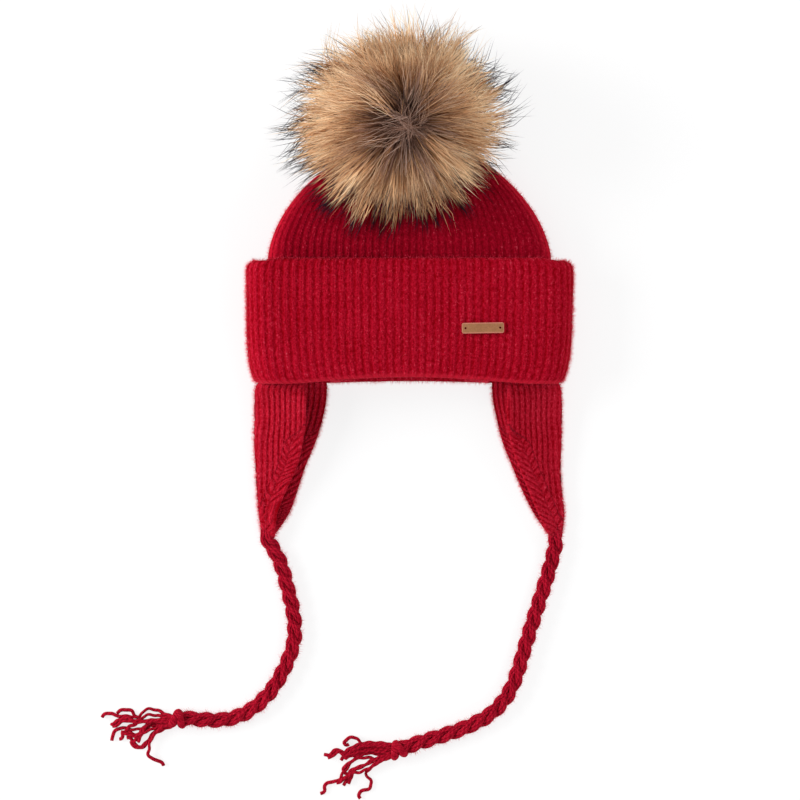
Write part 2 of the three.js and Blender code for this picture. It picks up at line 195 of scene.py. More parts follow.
def wool_finish(name, pattern, lit=WOOL_LIT, deep=WOOL_DEEP, around=None):
    """Soft matt wool. The Knit map counts ribs and rows on knitting, where two legs
    of loops lean into a V on each rib, and turns and plies on yarn. The colour holds
    painted shade and light: darker in the grooves and between plies, lighter on the
    crests, with the wool's own fibre noise, streaks and patches over it. The rows just
    before the first, which lie on the cuff's rim, get a painted highlight. Where a count
    of ribs around is given, those at the two side folds get a painted highlight."""
    bloom = {"Sheen_Weight": 0.10, "Sheen_Roughness": 0.30, "Sheen_Tint": WOOL_BLOOM}
    made, shader, start = new_finish(name, Roughness=0.92, Specular_IOR_Level=0.02, **bloom)
    spot = start.add("ShaderNodeTexCoord", None, out=3)
    knit = start.add("ShaderNodeUVMap", {"uv_map": "Knit"})
    across = start.part(knit, 0)
    down = start.part(knit, 1)
    fibre = start.grain(spot, 900, 3.0, 0.65)
    patches = start.grain(spot, 45, 2.0)
    specks = fibre.within(0.56, 0.74)
    if pattern == "stitch":
        lean = abs(start.math("FRACT", across, 0) - 0.5) * 2.0
        body = (1.0 - lean).within(0.08, 0.80)
        leg = start.math("COSINE", (down + lean * 0.55) * (2 * np.pi)) * 0.5 + 0.5
        split = 1.0 - lean.within(0.0, 0.34)
        streaked = start.add("ShaderNodeCombineXYZ", None, X=across * 4.0, Y=down * 0.7)
        streak = start.grain(streaked, 1.0, 3.0, 0.6)
        relief = body * (leg * 0.55 + 0.45) - split * 0.20
        # Painted shade: darker in the grooves and in the dip between a rib's legs, lighter on the crests.
        stitch_shade = body * 0.30 + body * leg * 0.08 - split * 0.05
        light = stitch_shade + (streak - 0.5) * 2.0 + 0.26
    else:
        ply = start.math("COSINE", (across * 2.0 + down) * (2 * np.pi)) * 0.5 + 0.5
        relief = ply * 0.8
        # Painted shade: darker between the plies, lighter on them.
        light = ply * 0.3 + 0.35
    shade = light + (fibre - 0.5) * 0.8 + specks * 0.30 + (patches - 0.5) * 0.4
    colour = shade.within(0.0, 0.85).mix(deep, lit)
    # Painted highlight where the shade is highest, on the crests and on pale fibre specks.
    colour = (shade.within(0.72, 1.35) * 0.7).mix(colour, WOOL_BRIGHT)
    if pattern == "stitch":
        # Painted highlight along the cuff's rolled rim, the rows just before the first.
        turned = 1.0 - abs(down + RIM_ROW).within(0.3, 1.5)
        colour = (turned * 0.55).mix(colour, WOOL_RIM_HIGHLIGHT)
    if around:
        # Painted highlight on the ribs at the two side folds, weaker in the grooves.
        beside = abs(abs(across - around / 2) - around / 4)
        folded = (1.0 - beside.within(0.5, 4.0)) * (shade.within(-0.1, 0.7) * 0.6 + 0.05)
        colour = folded.mix(colour, WOOL_FOLD_HIGHLIGHT)
    colour.feed(shader, "Base Color")
    bump = start.add("ShaderNodeBump", None, Height=relief + fibre * 0.8, Distance=0.0005, Strength=0.9)
    bump.feed(shader, "Normal")
    return made


def flowing(at, known, values):
    """Smooth curves through rows of known values: cubic pieces whose slope at each
    known place is that of its neighbours' chord."""
    slopes = np.gradient(values, known, axis=0)
    low = np.clip(np.searchsorted(known, at) - 1, 0, len(known) - 2)
    span = (known[low + 1] - known[low])[:, None]
    part = (at - known[low])[:, None] / span
    rise = part * part * (3 - 2 * part)
    lead = part * (1 - part) ** 2 * span * slopes[low]
    trail = part * part * (part - 1) * span * slopes[low + 1]
    return values[low] * (1 - rise) + values[low + 1] * rise + lead + trail


def soft_step(value):
    """Runs from 0 to 1 as the value does, with soft ends, and stays there beyond."""
    value = np.clip(value, 0, 1)
    return value * value * (3 - 2 * value)


def way_along(line):
    """How far along a line each of its points lies: the sum of the steps before it."""
    return np.r_[0, np.cumsum(np.linalg.norm(np.diff(line, axis=0), axis=1))]


def unit(ways):
    """Directions of length one."""
    return ways / (np.linalg.norm(ways, axis=-1, keepdims=True) + 1e-12)


def walk(route, count):
    """Points an equal way apart on the smooth curve through a route, and its length."""
    route = np.asarray(route, float)
    stride = way_along(route)
    dense = flowing(np.linspace(0, stride[-1], 3000), stride, route)
    walked = way_along(dense)
    stops = np.linspace(0, walked[-1], count)
    return np.stack([np.interp(stops, walked, dense[:, axis]) for axis in range(3)], axis=1), walked[-1]


def weave(rows, columns, closed):
    """Quads between the points of a grid whose rows are rings, the last of them joined
    to the first if it is closed: vertex numbers, and the row and column of each corner."""
    row, column = np.indices((rows if closed else rows - 1, columns)).reshape(2, -1)
    corner_row = np.stack([row, row, row + 1, row + 1], axis=1)
    corner_column = np.stack([column, column + 1, column + 1, column], axis=1)
    return (corner_row % rows) * columns + corner_column % columns, corner_row, corner_column


def lay_map(mesh, name, pairs):
    """Gives a mesh a UV map with one pair for every corner."""
    mesh.uv_layers.new(name=name).uv.foreach_set("vector", pairs.astype(np.float32).ravel())


def add_piece(name, points, faces, maps, finish, slot, stands_for=()):
    """A mesh object that rides on the hat. Each map gives two values for every corner.
    Faces are turned over together if they enclose a negative volume."""
    corners = points[faces[:, :3]]
    turned = np.einsum("ij,ij->", corners[:, 0], np.cross(corners[:, 1], corners[:, 2])) < 0
    if turned:
        faces = faces[:, ::-1]
    mesh = bpy.data.meshes.new(name)
    mesh.vertices.add(len(points))
    mesh.vertices.foreach_set("co", points.astype(np.float32).ravel())
    mesh.loops.add(faces.size)
    mesh.loops.foreach_set("vertex_index", faces.astype(np.int32).ravel())
    mesh.polygons.add(len(faces))
    mesh.polygons.foreach_set("loop_start", np.arange(0, faces.size, faces.shape[1], dtype=np.int32))
    mesh.update(calc_edges=True)
    for label, pair in maps.items():
        pairs = np.stack(pair, axis=-1)
        lay_map(mesh, label, pairs[:, ::-1] if turned else pairs)
    mesh.materials.append(finish)
    mesh.shade_smooth()
    piece = stand(name, mesh)
    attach(piece, "root")
    if stands_for:
        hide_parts(*stands_for)
    return piece


def yarn_tubes(lines, radius):
    """Tubes round several lines of equal count: each ring is a circle square to its
    line, and each end is closed. Gives points, quads and maps."""
    count, steps, _ = lines.shape
    forward = unit(np.gradient(lines, axis=1))
    side = unit(np.cross((0, 0, 1), forward))
    up = np.cross(forward, side)
    angle = np.linspace(0, 2 * np.pi, YARN_SIDES, endpoint=False)
    out = side[:, :, None] * np.cos(angle)[:, None] + up[:, :, None] * np.sin(angle)[:, None]
    reach = np.broadcast_to(np.asarray(radius), (count, steps))[:, :, None, None]
    points = (lines[:, :, None] + out * reach).reshape(-1, 3)
    quads, row, column = weave(steps, YARN_SIDES, False)
    first = np.array([[3, 2, 1, 0], [5, 4, 3, 0]])
    last = first[:, ::-1] + (steps - 1) * YARN_SIDES
    quads = np.concatenate([quads, first, last])
    row = np.concatenate([row, np.zeros((2, 4), int), np.full((2, 4), steps - 1)])
    column = np.concatenate([column, first, first[:, ::-1]])
    starts = np.arange(count)[:, None, None]
    length = np.linalg.norm(np.diff(lines, axis=1), axis=2).sum(axis=1)[:, None, None]
    share = row[None] / (steps - 1) + 0.0 * starts
    around = column[None] / YARN_SIDES + 0.0 * starts
    plies = share * length / PLY_PITCH + 0.37 * starts
    beside = (starts + around * 0.98) / count
    faces = quads[None] + starts * steps * YARN_SIDES
    faces, around, plies, beside, share = (
        every.reshape(-1, 4) for every in (faces, around, plies, beside, share)
    )
    return points, faces, {"Knit": (around, plies), "OFBake": (beside, share)}


def plait(route):
    """Three strands that sway from side to side once a pitch, a third of a turn apart,
    and rise and dip twice as often, on top of a slow twist of the whole plait that
    shows the strands of one slant more. Each is a bundle of yarns that twists too.
    Both ends are tucked in, under the flap's tip and into the knot."""
    flat = np.array([(x, y, BRAID_MIDDLE) for x, y in route])
    into_knot = flat[-1] + unit(flat[-1] - flat[-2]) * KNOT_TUCK
    line, length = walk(np.vstack([flat, into_knot]), 200)
    walked = np.linspace(0, length, len(line))
    side = np.cross((0, 0, 1), unit(np.gradient(line, axis=0)))
    strand = np.arange(STRANDS)[:, None, None]
    member = np.arange(BUNDLE)[None, :, None]
    phase = 2 * np.pi * (walked / PLAIT_PITCH + strand / STRANDS)
    loose = 1 + 0.08 * np.sin(walked / LOOSE_WAVE + 2 * strand)
    turn = 2 * np.pi * (member / BUNDLE + walked / BUNDLE_PITCH + 0.13 * strand)
    sway = PLAIT_SWAY * loose * np.sin(phase) + BUNDLE_RADIUS * np.cos(turn)
    lift = PLAIT_LIFT * np.sin(2 * phase) + PLAIT_TWIST * np.cos(phase) + BUNDLE_RADIUS * np.sin(turn)
    lines = line + side * sway[..., None] + np.array((0, 0, 1)) * lift[..., None]
    lines = lines.reshape(-1, len(line), 3)
    lines[:, 0] += (0, FLAP_TUCK, 0)
    lines[..., 2] = np.maximum(lines[..., 2], YARN_RADIUS + TABLE_GAP)
    return lines, length - KNOT_TUCK


yarn_finish = wool_finish("plaited_wool", "ply", lit=(0.45, 0.007, 0.026, 1), deep=(0.16, 0.0008, 0.006, 1))
braids = {}
for side_name, route in (("left", left_route), ("right", right_route)):
    lines, length = plait(route)
    tubes = yarn_tubes(lines, YARN_RADIUS)
    braid = add_piece(f"plait_{side_name}", *tubes, yarn_finish, "wool_tie", [f"braid_{side_name}"])
    braids[side_name] = (braid, route, length)


# Tassels: each plait ends in an overhand knot, and the yarns beyond it fall loose,
# still crimped from the plaiting. A row is one run of yarns: how many lie side by
# side, how high it lies over the others, and its way from the knot in millimetres.
END_RADIUS = 0.00124
END_SPACING = 0.0019
END_STEPS = 60
ENDS_START = 0.0052
LAYER_HIGH = 0.0018
CRIMP = 0.00035
CRIMP_LENGTH = 0.0085
KNOT_RADIUS = 0.0042
KNOT_MIDDLE = 0.0053
KNOT_YARNS = 5
TURN_APART = 0.0019
left_knot = (-0.1715, -0.3299)
right_knot = (-0.0088, -0.3528)
left_ends = [
    (1, 0, [(-3.4, 0.9), (-9.7, 3.1), (-15.3, 5.4), (-22.1, 6.4), (-26.7, 4.0), (-28.9, 0.3), (-32.0, 1.7),
            (-34.9, 5.1), (-38.6, 6.1), (-42.8, 5.1), (-46.2, 2.8)]),
    (1, 1, [(-4.0, -0.8), (-14.2, -2.0), (-24.4, -2.0), (-33.5, 0.9), (-41.4, 1.4), (-46.5, 1.7),
            (-49.3, 3.4), (-53.3, 3.0), (-57.3, -0.2)]),
    (2, 2, [(-4.0, -2.0), (-16.5, -1.4), (-25.5, -2.5), (-33.5, -2.0), (-39.7, -0.8), (-44.2, -3.1),
            (-47.6, -5.1), (-50.4, -5.5), (-50.4, -3.8)]),
    (1, 0, [(-5.1, -2.5), (-11.9, -4.8), (-21.0, -5.9), (-31.2, -8.8), (-38.0, -8.2), (-42.5, -7.5),
            (-46.5, -9.9), (-48.8, -13.3), (-48.9, -18.0)]),
    (1, 1, [(-5.7, -3.1), (-14.2, -6.5), (-23.3, -9.9), (-31.2, -13.3), (-36.9, -12.5), (-41.4, -10.2),
            (-40.7, -12.9), (-41.9, -15.1), (-44.5, -15.6)]),
    (2, 0, [(-5.1, -4.8), (-11.4, -7.6), (-17.0, -11.0), (-21.0, -15.6), (-23.8, -19.0), (-27.2, -21.7),
            (-30.9, -21.7), (-33.5, -19.0), (-35.7, -15.9), (-38.7, -16.4)]),
    (1, 2, [(-5.7, -4.2), (-12.5, -7.1), (-17.6, -12.2), (-20.7, -18.4), (-21.4, -22.9), (-22.0, -26.4),
            (-19.0, -30.3), (-14.2, -31.7), (-12.2, -33.4), (-10.7, -36.3)]),
    (2, 1, [(-5.1, -2.0), (-11.9, -4.8), (-17.0, -2.3), (-21.0, -3.1), (-25.2, -7.6), (-28.6, -13.3),
            (-30.6, -17.0), (-33.5, -19.0)]),
    (1, 1, [(-4.0, 0.3), (-10.8, 0.9), (-16.5, 2.0), (-23.3, 2.0), (-27.8, -0.8), (-31.2, -4.2),
            (-35.7, -6.5), (-40.3, -11.0)]),
    (1, 0, [(-4.5, -0.8), (-11.9, -2.0), (-18.7, -4.8), (-26.1, -11.0), (-31.2, -12.7), (-35.7, -11.0),
            (-39.7, -7.6)]),
]
right_ends = [
    (1, 1, [(-4.8, 3.2), (-13.9, 4.4), (-22.9, 4.7), (-27.5, 4.4), (-30.3, 7.8), (-33.1, 8.7), (-36.8, 7.2),
            (-39.9, 4.4), (-38.2, 3.0), (-35.4, 3.8)]),
    (2, 1, [(-5.4, -1.3), (-19.5, -0.7), (-30.9, -2.2), (-39.4, -3.9), (-42.2, -2.0), (-45.6, -1.9),
            (-48.4, -4.1), (-50.7, -5.8), (-54.1, -5.8), (-55.9, -5.0)]),
    (2, 0, [(-5.4, -3.6), (-16.7, -3.0), (-28.0, -3.6), (-36.0, -5.3), (-39.9, -7.3), (-42.1, -9.7)]),
    (1, 0, [(-6.5, -4.7), (-13.9, -8.1), (-21.8, -6.7), (-29.7, -7.5), (-33.7, -9.2), (-36.5, -13.8),
            (-39.9, -17.2), (-43.1, -22.8), (-46.7, -24.7), (-51.9, -25.2), (-53.8, -27.9), (-54.4, -31.4),
            (-58.2, -34.3)]),
    (2, 1, [(-6.5, -5.3), (-13.9, -7.0), (-20.7, -9.8), (-25.2, -12.6), (-30.9, -14.5), (-34.3, -17.2),
            (-35.4, -21.7), (-37.7, -25.7), (-40.1, -28.4)]),
    (1, 2, [(-5.9, -5.8), (-13.9, -9.2), (-21.8, -14.3), (-28.6, -17.2), (-33.1, -17.7), (-38.2, -21.1),
            (-42.2, -24.0), (-45.9, -25.8)]),
    (1, 0, [(-5.9, -5.8), (-13.9, -9.8), (-20.1, -14.9), (-23.4, -17.7), (-22.3, -20.9), (-19.6, -24.5),
            (-20.4, -29.1), (-24.6, -30.8), (-27.8, -32.5), (-29.2, -34.8), (-26.8, -37.6)]),
    (2, 2, [(-4.8, 2.1), (-13.9, 3.2), (-22.4, 3.2), (-28.0, 2.7), (-33.1, 0.4), (-37.7, -3.0),
            (-40.8, -5.8)]),
    (1, 0, [(-5.9, -3.0), (-15.0, -1.3), (-24.1, -3.6), (-30.9, -7.0), (-36.5, -11.5), (-40.5, -14.9),
            (-38.2, -18.3), (-34.8, -19.4)]),
    (1, 1, [(-5.4, 1.0), (-15.0, 1.8), (-25.2, 1.5), (-30.9, -0.7), (-36.0, -4.1), (-39.9, -8.1)]),
]


def loose_ends(knot, ends):
    """Lines along each run, its yarns side by side and crimped by a small wave, that
    sink from the knot's height to the surface and cross over the runs below them."""
    part = np.linspace(0, 1, END_STEPS)
    sink = soft_step(part * 2.6)
    lines = []
    for many, layer, way in ends:
        route = np.array([(0.0, 0.0), *way]) * 0.001 + knot
        flat, length = walk(np.c_[route, np.zeros(len(route))], END_STEPS)
        side = np.cross((0, 0, 1), unit(np.gradient(flat, axis=0)))
        laid = END_RADIUS + TABLE_GAP + LAYER_HIGH * layer * (1 - part**4)
        high = ENDS_START * (1 - sink) + laid * sink
        for member in range(many):
            place = member - (many - 1) / 2
            crimp = CRIMP * np.sin(2 * np.pi * (part * length / CRIMP_LENGTH) + 2 * member + layer)
            offset = END_SPACING * place * (0.75 + 0.35 * np.sin(7 * part + layer)) + crimp
            shorter = 1 - 0.06 * member
            line = flat + side * offset[:, None] + np.array((0, 0, 1)) * (high + 0.0002 * place)[:, None]
            cut_off = walk(line, END_STEPS + 1)[0][: int(END_STEPS * shorter)]
            lines.append(walk(cut_off, END_STEPS)[0])
    return np.array(lines)


def knot_turns(knot, heading):
    """Two slanting turns of a strand round the tie's line, each a ring of five yarns
    that twist about its middle and overlap where they meet."""
    part = np.linspace(0, 2 * np.pi * 1.01, END_STEPS)[None]
    turn = np.repeat([-1, 1], KNOT_YARNS)[:, None]
    twist = 3 * part + np.tile(np.arange(KNOT_YARNS), 2)[:, None] * 2 * np.pi / KNOT_YARNS
    reach = KNOT_RADIUS + END_SPACING * np.cos(twist)
    aside = reach * np.cos(part)
    high = np.maximum(KNOT_MIDDLE + reach * np.sin(part), END_RADIUS)
    slant = 0.34 * turn * aside * np.sign(heading[0])
    along = -TURN_APART * turn + END_SPACING * np.sin(twist) + slant
    x = knot[0] + along * heading[0] - aside * heading[1]
    y = knot[1] + along * heading[1] + aside * heading[0]
    return np.stack([x, y, high], axis=2)


def tassel(name, knot, ends, heading):
    """Loose ends and knot turns as one piece of closed yarns."""
    uneven = 1 + 0.12 * np.sin(np.linspace(0, 9, END_STEPS))
    lines = np.concatenate([loose_ends(knot, ends), knot_turns(knot, heading)])
    tubes = yarn_tubes(lines, END_RADIUS * uneven)
    return add_piece(f"{name}_yarns", *tubes, yarn_finish, "wool_tie", [name])


left_tassel = tassel("tassel_left", left_knot, left_ends, (-0.995, 0.09))
right_tassel = tassel("tassel_right", right_knot, right_ends, (-0.95, -0.31))
for side_name, tuft in (("left", left_tassel), ("right", right_tassel)):
    braid, route, length = braids[side_name]
    walk([(x, y, BRAID_MIDDLE) for x, y in route], 80)[0]


# Cuff: the hat's brim, ribbed in thick wool, knitted long and folded up once into a
# double band with a rolled lower edge. Its front edge arches a little over the mouth.
CUFF_RIBS = 90
STITCH_ROW = 0.0022
RIB_DEPTH = 0.0005
CUFF_HALF_WIDTH = 0.1203
MOUTH_NARROWER = 0.0078
TOP_NARROWER = 0.0036
CUFF_MOUTH = -0.0826
CUFF_TOP = 0.0092
CUFF_WALL = 0.0050
CUFF_HEIGHT = 0.038
MOUTH_ROLL = 0.0045
TOP_ROLL = 0.0024
MOUTH_ARCH = 0.0052
ARCH_REACH = 0.090
CUFF_DROOP = 0.0018
DROOP_START = 0.094
DOME = 0.002
BEND_STEPS = 240
FINE_SHARE = 0.62
FINE_STEPS = 7
COARSE_STEPS = 3
TOP_RIPPLE = 0.0008
SIDE_RIPPLE = 0.0006
KNIT_LOWEST = 0.0002

knit_finish = wool_finish("ribbed_wool", "stitch")


def flat_tube(half_width, bottom, top, fold, share):
    """A ring of a tube pressed flat: front and back runs joined by half ellipses,
    walked from the front's middle to each share of its length. Gives x and z and
    the outward direction, which is the way ahead turned a quarter to the left."""
    run = half_width - fold
    middle = (top + bottom) / 2
    bend = np.linspace(np.pi / 2, -np.pi / 2, BEND_STEPS)
    straight = np.linspace(-1, 1, BEND_STEPS)[1:-1]
    right = straight[straight >= 0]
    left = straight[straight < 0]
    out = run + fold * np.cos(bend)
    up = (top - bottom) / 2 * np.sin(bend)
    x = np.r_[run * right, out, -run * straight, -out, run * left, run * right[0]]
    z = np.r_[top + 0 * right, middle + up, bottom + 0 * straight, middle - up, top + 0 * left, top]
    walked = way_along(np.stack([x, z], axis=1))
    apart = walked + np.arange(len(x)) * 1e-12
    at = share * walked[-1]
    out_x = -np.interp(at, walked, np.gradient(z, apart))
    out_z = np.interp(at, walked, np.gradient(x, apart))
    size = np.hypot(out_x, out_z) + 1e-12
    return np.interp(at, walked, x), np.interp(at, walked, z), out_x / size, out_z / size


def rib_relief(rib, row):
    """Height from 0 in a groove to 1 on a rib, counted in ribs and rows: two legs on
    each rib with a dip between them, and loops that lean into a V."""
    lean = np.abs(rib - np.floor(rib) - 0.5) * 2
    body = soft_step((1 - lean) / 0.80)
    legs = 1 - 0.30 * np.exp(-((lean / 0.24) ** 2))
    loops = 0.11 * np.cos(2 * np.pi * (row + 0.55 * lean))
    return body * (legs + loops)


def rib_columns(ribs):
    """Places round the tube counted in ribs, fine steps to a rib on the front and the
    folds and coarse steps underneath, where the hat lies on it."""
    split = int(ribs * FINE_SHARE / 2)
    front = np.arange(0, split, 1 / FINE_STEPS)
    under = np.arange(split, ribs - split, 1 / COARSE_STEPS)
    rest = np.arange(ribs - split, ribs, 1 / FINE_STEPS)
    return np.concatenate([front, under, rest])


def ripple(x, y, size, seed):
    """Slow uneven waves: a sum of three sines over the piece in directions of their own."""
    draw = np.random.default_rng(seed)
    total = 0
    for _ in range(3):
        turn, phase = draw.uniform(0, 2 * np.pi, 2)
        reach = draw.uniform(0.02, 0.05)
        total = total + np.sin((x * np.cos(turn) + y * np.sin(turn)) / reach * 2 + phase)
    return size * total / 3


def knit_shell(name, levels, ribs, finish, stands_for):
    """A closed wall of ribbed knitting from a chain of levels that ends where it began,
    with so many ribs round it. The levels' rows hold y, half width, bottom, top, fold,
    dome, arch, inset from the outside, the count of stitch rows, how strong the relief
    is, and how far the ends droop."""
    y, half_width, bottom, top, fold, dome, arch, inset, row, strength, droop = levels[..., None]
    places = rib_columns(ribs)
    sizes = np.hstack([half_width - inset, bottom + inset, top - inset, fold - inset])
    rings = [flat_tube(*size, places / ribs) for size in sizes]
    x, z, out_x, out_z = (np.array(part) for part in zip(*rings))
    rib = places[None]
    middle = (bottom + top) / 2
    rise = (top - bottom) / 2
    free = soft_step((z - bottom - inset) / (0.6 * rise))
    wavy = rib + 0.08 * np.sin(y / 0.009 + 0.4 * rib) + 0.05 * np.sin(y / 0.0037 + 1.7 * rib)
    relief = rib_relief(wavy, row)
    depth = RIB_DEPTH * strength * (0.15 + 0.85 * free) * (1 - relief)
    front = soft_step((z - middle) / rise)
    run = half_width - fold
    across = np.clip(1 - (x / np.maximum(run, 1e-3)) ** 2, 0, None)
    lift = dome * front * across + ripple(x, y, TOP_RIPPLE, 4) * front
    arch_across = np.clip(1 - (x / ARCH_REACH) ** 2, 0, None) ** 1.5 * (0.42 + 0.58 * front)
    drooped = droop * soft_step((np.abs(x) - DROOP_START) / 0.014)
    sag = ripple(x + 0.3, z * 3 + y, SIDE_RIPPLE, 7)
    along = y + arch * arch_across - drooped
    points = np.stack([x - out_x * depth + sag * out_x, along, z - out_z * depth + lift], axis=2)
    points[..., 2] = np.maximum(points[..., 2], KNIT_LOWEST)
    faces, corner_row, corner_column = weave(*x.shape, True)
    counted = np.r_[places, ribs][corner_column]
    knit = (counted, np.r_[row[:, 0], row[-1, 0]][corner_row])
    maps = {"Knit": knit, "OFBake": (counted / ribs, corner_row / len(y))}
    return add_piece(name, points.reshape(-1, 3), faces, maps, finish, "wool", stands_for)


def cuff_width(y):
    """Half the cuff's width: it narrows quickly to the mouth's corners and to its top."""
    at_mouth = MOUTH_NARROWER * np.exp(-(y - CUFF_MOUTH) / 0.0140)
    at_top = TOP_NARROWER * np.exp((y - CUFF_TOP) / 0.0025)
    return CUFF_HALF_WIDTH - at_mouth - at_top


def cuff_levels():
    """Up the outside from the mouth, over the top edge, down the inside, and round
    the rolled lower edge, whose rows are counted back from the first."""
    outside = np.arange(CUFF_MOUTH + MOUTH_ROLL, CUFF_TOP - TOP_ROLL, STITCH_ROW / 2)
    top_turn = np.linspace(0, np.pi, 9)[1:-1]
    top_y = CUFF_TOP - TOP_ROLL + TOP_ROLL * np.sin(top_turn)
    top_inset = TOP_ROLL * (1 - np.cos(top_turn))
    inside = np.linspace(CUFF_TOP - TOP_ROLL, CUFF_MOUTH + 0.020, 8)
    inner = np.linspace(CUFF_MOUTH + 0.014, CUFF_MOUTH + MOUTH_ROLL, 6)
    turn = np.linspace(np.pi, 0, 20)[1:-1]
    roll_y = CUFF_MOUTH + MOUTH_ROLL - MOUTH_ROLL * np.sin(turn)
    roll_inset = MOUTH_ROLL * (1 - np.cos(turn))
    y = np.concatenate([outside, top_y, inside, inner, roll_y])
    inset = np.r_[0 * outside, top_inset, CUFF_WALL + 0 * inside, 2 * MOUTH_ROLL + 0 * inner, roll_inset]
    arch = MOUTH_ARCH * soft_step((-0.030 - y) / 0.050)
    row = way_along(np.c_[y, inset]) / STITCH_ROW
    row[-len(turn) :] = -np.arange(len(turn), 0, -1) / 3
    turning = 0.8 * np.cos(top_turn / 2)
    strength = np.r_[1 + 0 * outside, turning, 0.1 + 0 * inside, 0.6 + 0 * inner, 0.9 + 0 * turn]
    width = cuff_width(np.maximum(y, CUFF_MOUTH + 0.0005))
    droop = CUFF_DROOP * soft_step((y - CUFF_TOP + 0.030) / 0.030)
    fold = CUFF_HEIGHT / 2
    columns = (y, width, 0, CUFF_HEIGHT, fold, DOME, arch, inset, row, strength, droop)
    return np.stack(np.broadcast_arrays(*columns))


cuff = knit_shell("cuff_band", cuff_levels(), CUFF_RIBS, knit_finish, ["cuff"])


# Crown: a bag of the same ribbing that runs on from inside the cuff and is
# gathered shut under the pompom, its ribs drawing together on the way.
CROWN_RIBS = 84
CROWN_WALL = 0.0034
CROWN_BASE = 0.008
CROWN_REACH = 0.093
CROWN_ROUND = 1.7
CROWN_INSIDE = -0.066
CROWN_HALF_WIDTH = 0.1040
CROWN_FALL = 1.9
FALL_START = 0.012
cuff_clear = CUFF_WALL + 0.0003


def crown_width(y):
    """Half the crown's width: a superellipse above the cuff, a little wider inside it."""
    up = np.clip((y - CROWN_BASE) / CROWN_REACH, 0, 0.9995)
    rounded = CROWN_HALF_WIDTH * (1 - up**CROWN_ROUND) ** (1 / CROWN_ROUND)
    return rounded + 0.004 * soft_step((0.006 - y) / 0.05)


def crown_top(y):
    """How high the crown's upper side lies: it falls by the square of the way up."""
    return CUFF_HEIGHT - cuff_clear - CROWN_FALL * np.clip(y - FALL_START, 0, None) ** 2


def crown_levels():
    """Up the outside to the gathered tip, then back down the inside to the mouth."""
    hidden = np.linspace(CROWN_INSIDE, 0.003, 5)
    seen = np.arange(0.0042, 0.070, STITCH_ROW / 2)
    covered = np.linspace(0.0715, 0.1003, 18)
    inside = np.array([0.0960, 0.090, 0.080, 0.065, 0.045, 0.025, 0.005, CROWN_INSIDE])
    y = np.concatenate([hidden, seen, covered, inside])
    inset = np.where(np.arange(len(y)) < len(y) - len(inside), 0, CROWN_WALL)
    width = np.maximum(crown_width(y), 0.0045 + inset)
    above = soft_step((y - CROWN_BASE) / 0.018)
    bottom = cuff_clear * (1 - above) + 0.004 * soft_step((y - 0.075) / 0.03)
    fold = np.minimum(0.0137 + 0.0025 * above, 0.92 * width)
    row = way_along(np.c_[y, width]) / STITCH_ROW
    strength = np.where(inset > 0, 0.1, 0.65)
    dome = DOME + 0.0012 * above
    columns = (y, width, bottom, crown_top(y), fold, dome, 0, inset, row, strength, 0)
    return np.stack(np.broadcast_arrays(*columns))


# The crown's wool has darker colours than the cuff's: painted shade, for the crown falls away under the
# pompom.
shaded_crown_finish = wool_finish(
    "shaded_crown_wool", "stitch", lit=(0.295, 0.0022, 0.014, 1), deep=(0.170, 0.0003, 0.005, 1), around=CROWN_RIBS
)
crown = knit_shell("crown_bag", crown_levels(), CROWN_RIBS, shaded_crown_finish, ["crown"])


# Earflaps: each is a panel of narrow ribbing that grows from the mouth's side,
# folded double along its outer side, with a slanting border knitted along its
# tapering edges. A row holds y, fold, front edge, back edge, bottom and top.
FLAP_WALL = 0.0036
FLAP_RIB = 0.0042
BORDER = 0.0072
STROKE = 0.0064
BORDER_START = -0.113
FRONT_STEPS = 74
EDGE_STEPS = 6
FLAP_RELIEF = 0.0010
FLAP_RIPPLE = 0.0005
EDGE_LESS = 0.0004
left_flap = [
    (-0.0640, -0.1056, -0.0765, -0.0600, 0.0102, 0.0264),
    (-0.0780, -0.1095, -0.0760, -0.0604, 0.0095, 0.0268),
    (-0.0860, -0.1140, -0.0757, -0.0606, 0.0060, 0.0275),
    (-0.0940, -0.1149, -0.0753, -0.0612, 0.0025, 0.0275),
    (-0.1060, -0.1152, -0.0755, -0.0636, 0.0002, 0.0262),
    (-0.1240, -0.1151, -0.0780, -0.0685, 0.0002, 0.0210),
    (-0.1437, -0.1138, -0.0822, -0.0763, 0.0002, 0.0175),
    (-0.1614, -0.1132, -0.0901, -0.0822, 0.0002, 0.0145),
    (-0.1790, -0.1121, -0.0972, -0.0892, 0.0002, 0.0124),
    (-0.1938, -0.1104, -0.0994, -0.0992, 0.0002, 0.0110),
]
right_flap = [
    (-0.0640, 0.1056, 0.0725, 0.0595, 0.0102, 0.0264),
    (-0.0780, 0.1085, 0.0715, 0.0600, 0.0095, 0.0268),
    (-0.0860, 0.1116, 0.0708, 0.0606, 0.0060, 0.0275),
    (-0.0940, 0.1128, 0.0706, 0.0615, 0.0025, 0.0275),
    (-0.1060, 0.1131, 0.0709, 0.0640, 0.0002, 0.0262),
    (-0.1240, 0.1129, 0.0736, 0.0680, 0.0002, 0.0210),
    (-0.1437, 0.1121, 0.0800, 0.0756, 0.0002, 0.0175),
    (-0.1614, 0.1132, 0.0874, 0.0833, 0.0002, 0.0145),
    (-0.1790, 0.1152, 0.0953, 0.0925, 0.0002, 0.0124),
    (-0.1938, 0.1136, 0.1026, 0.1024, 0.0002, 0.0110),
]


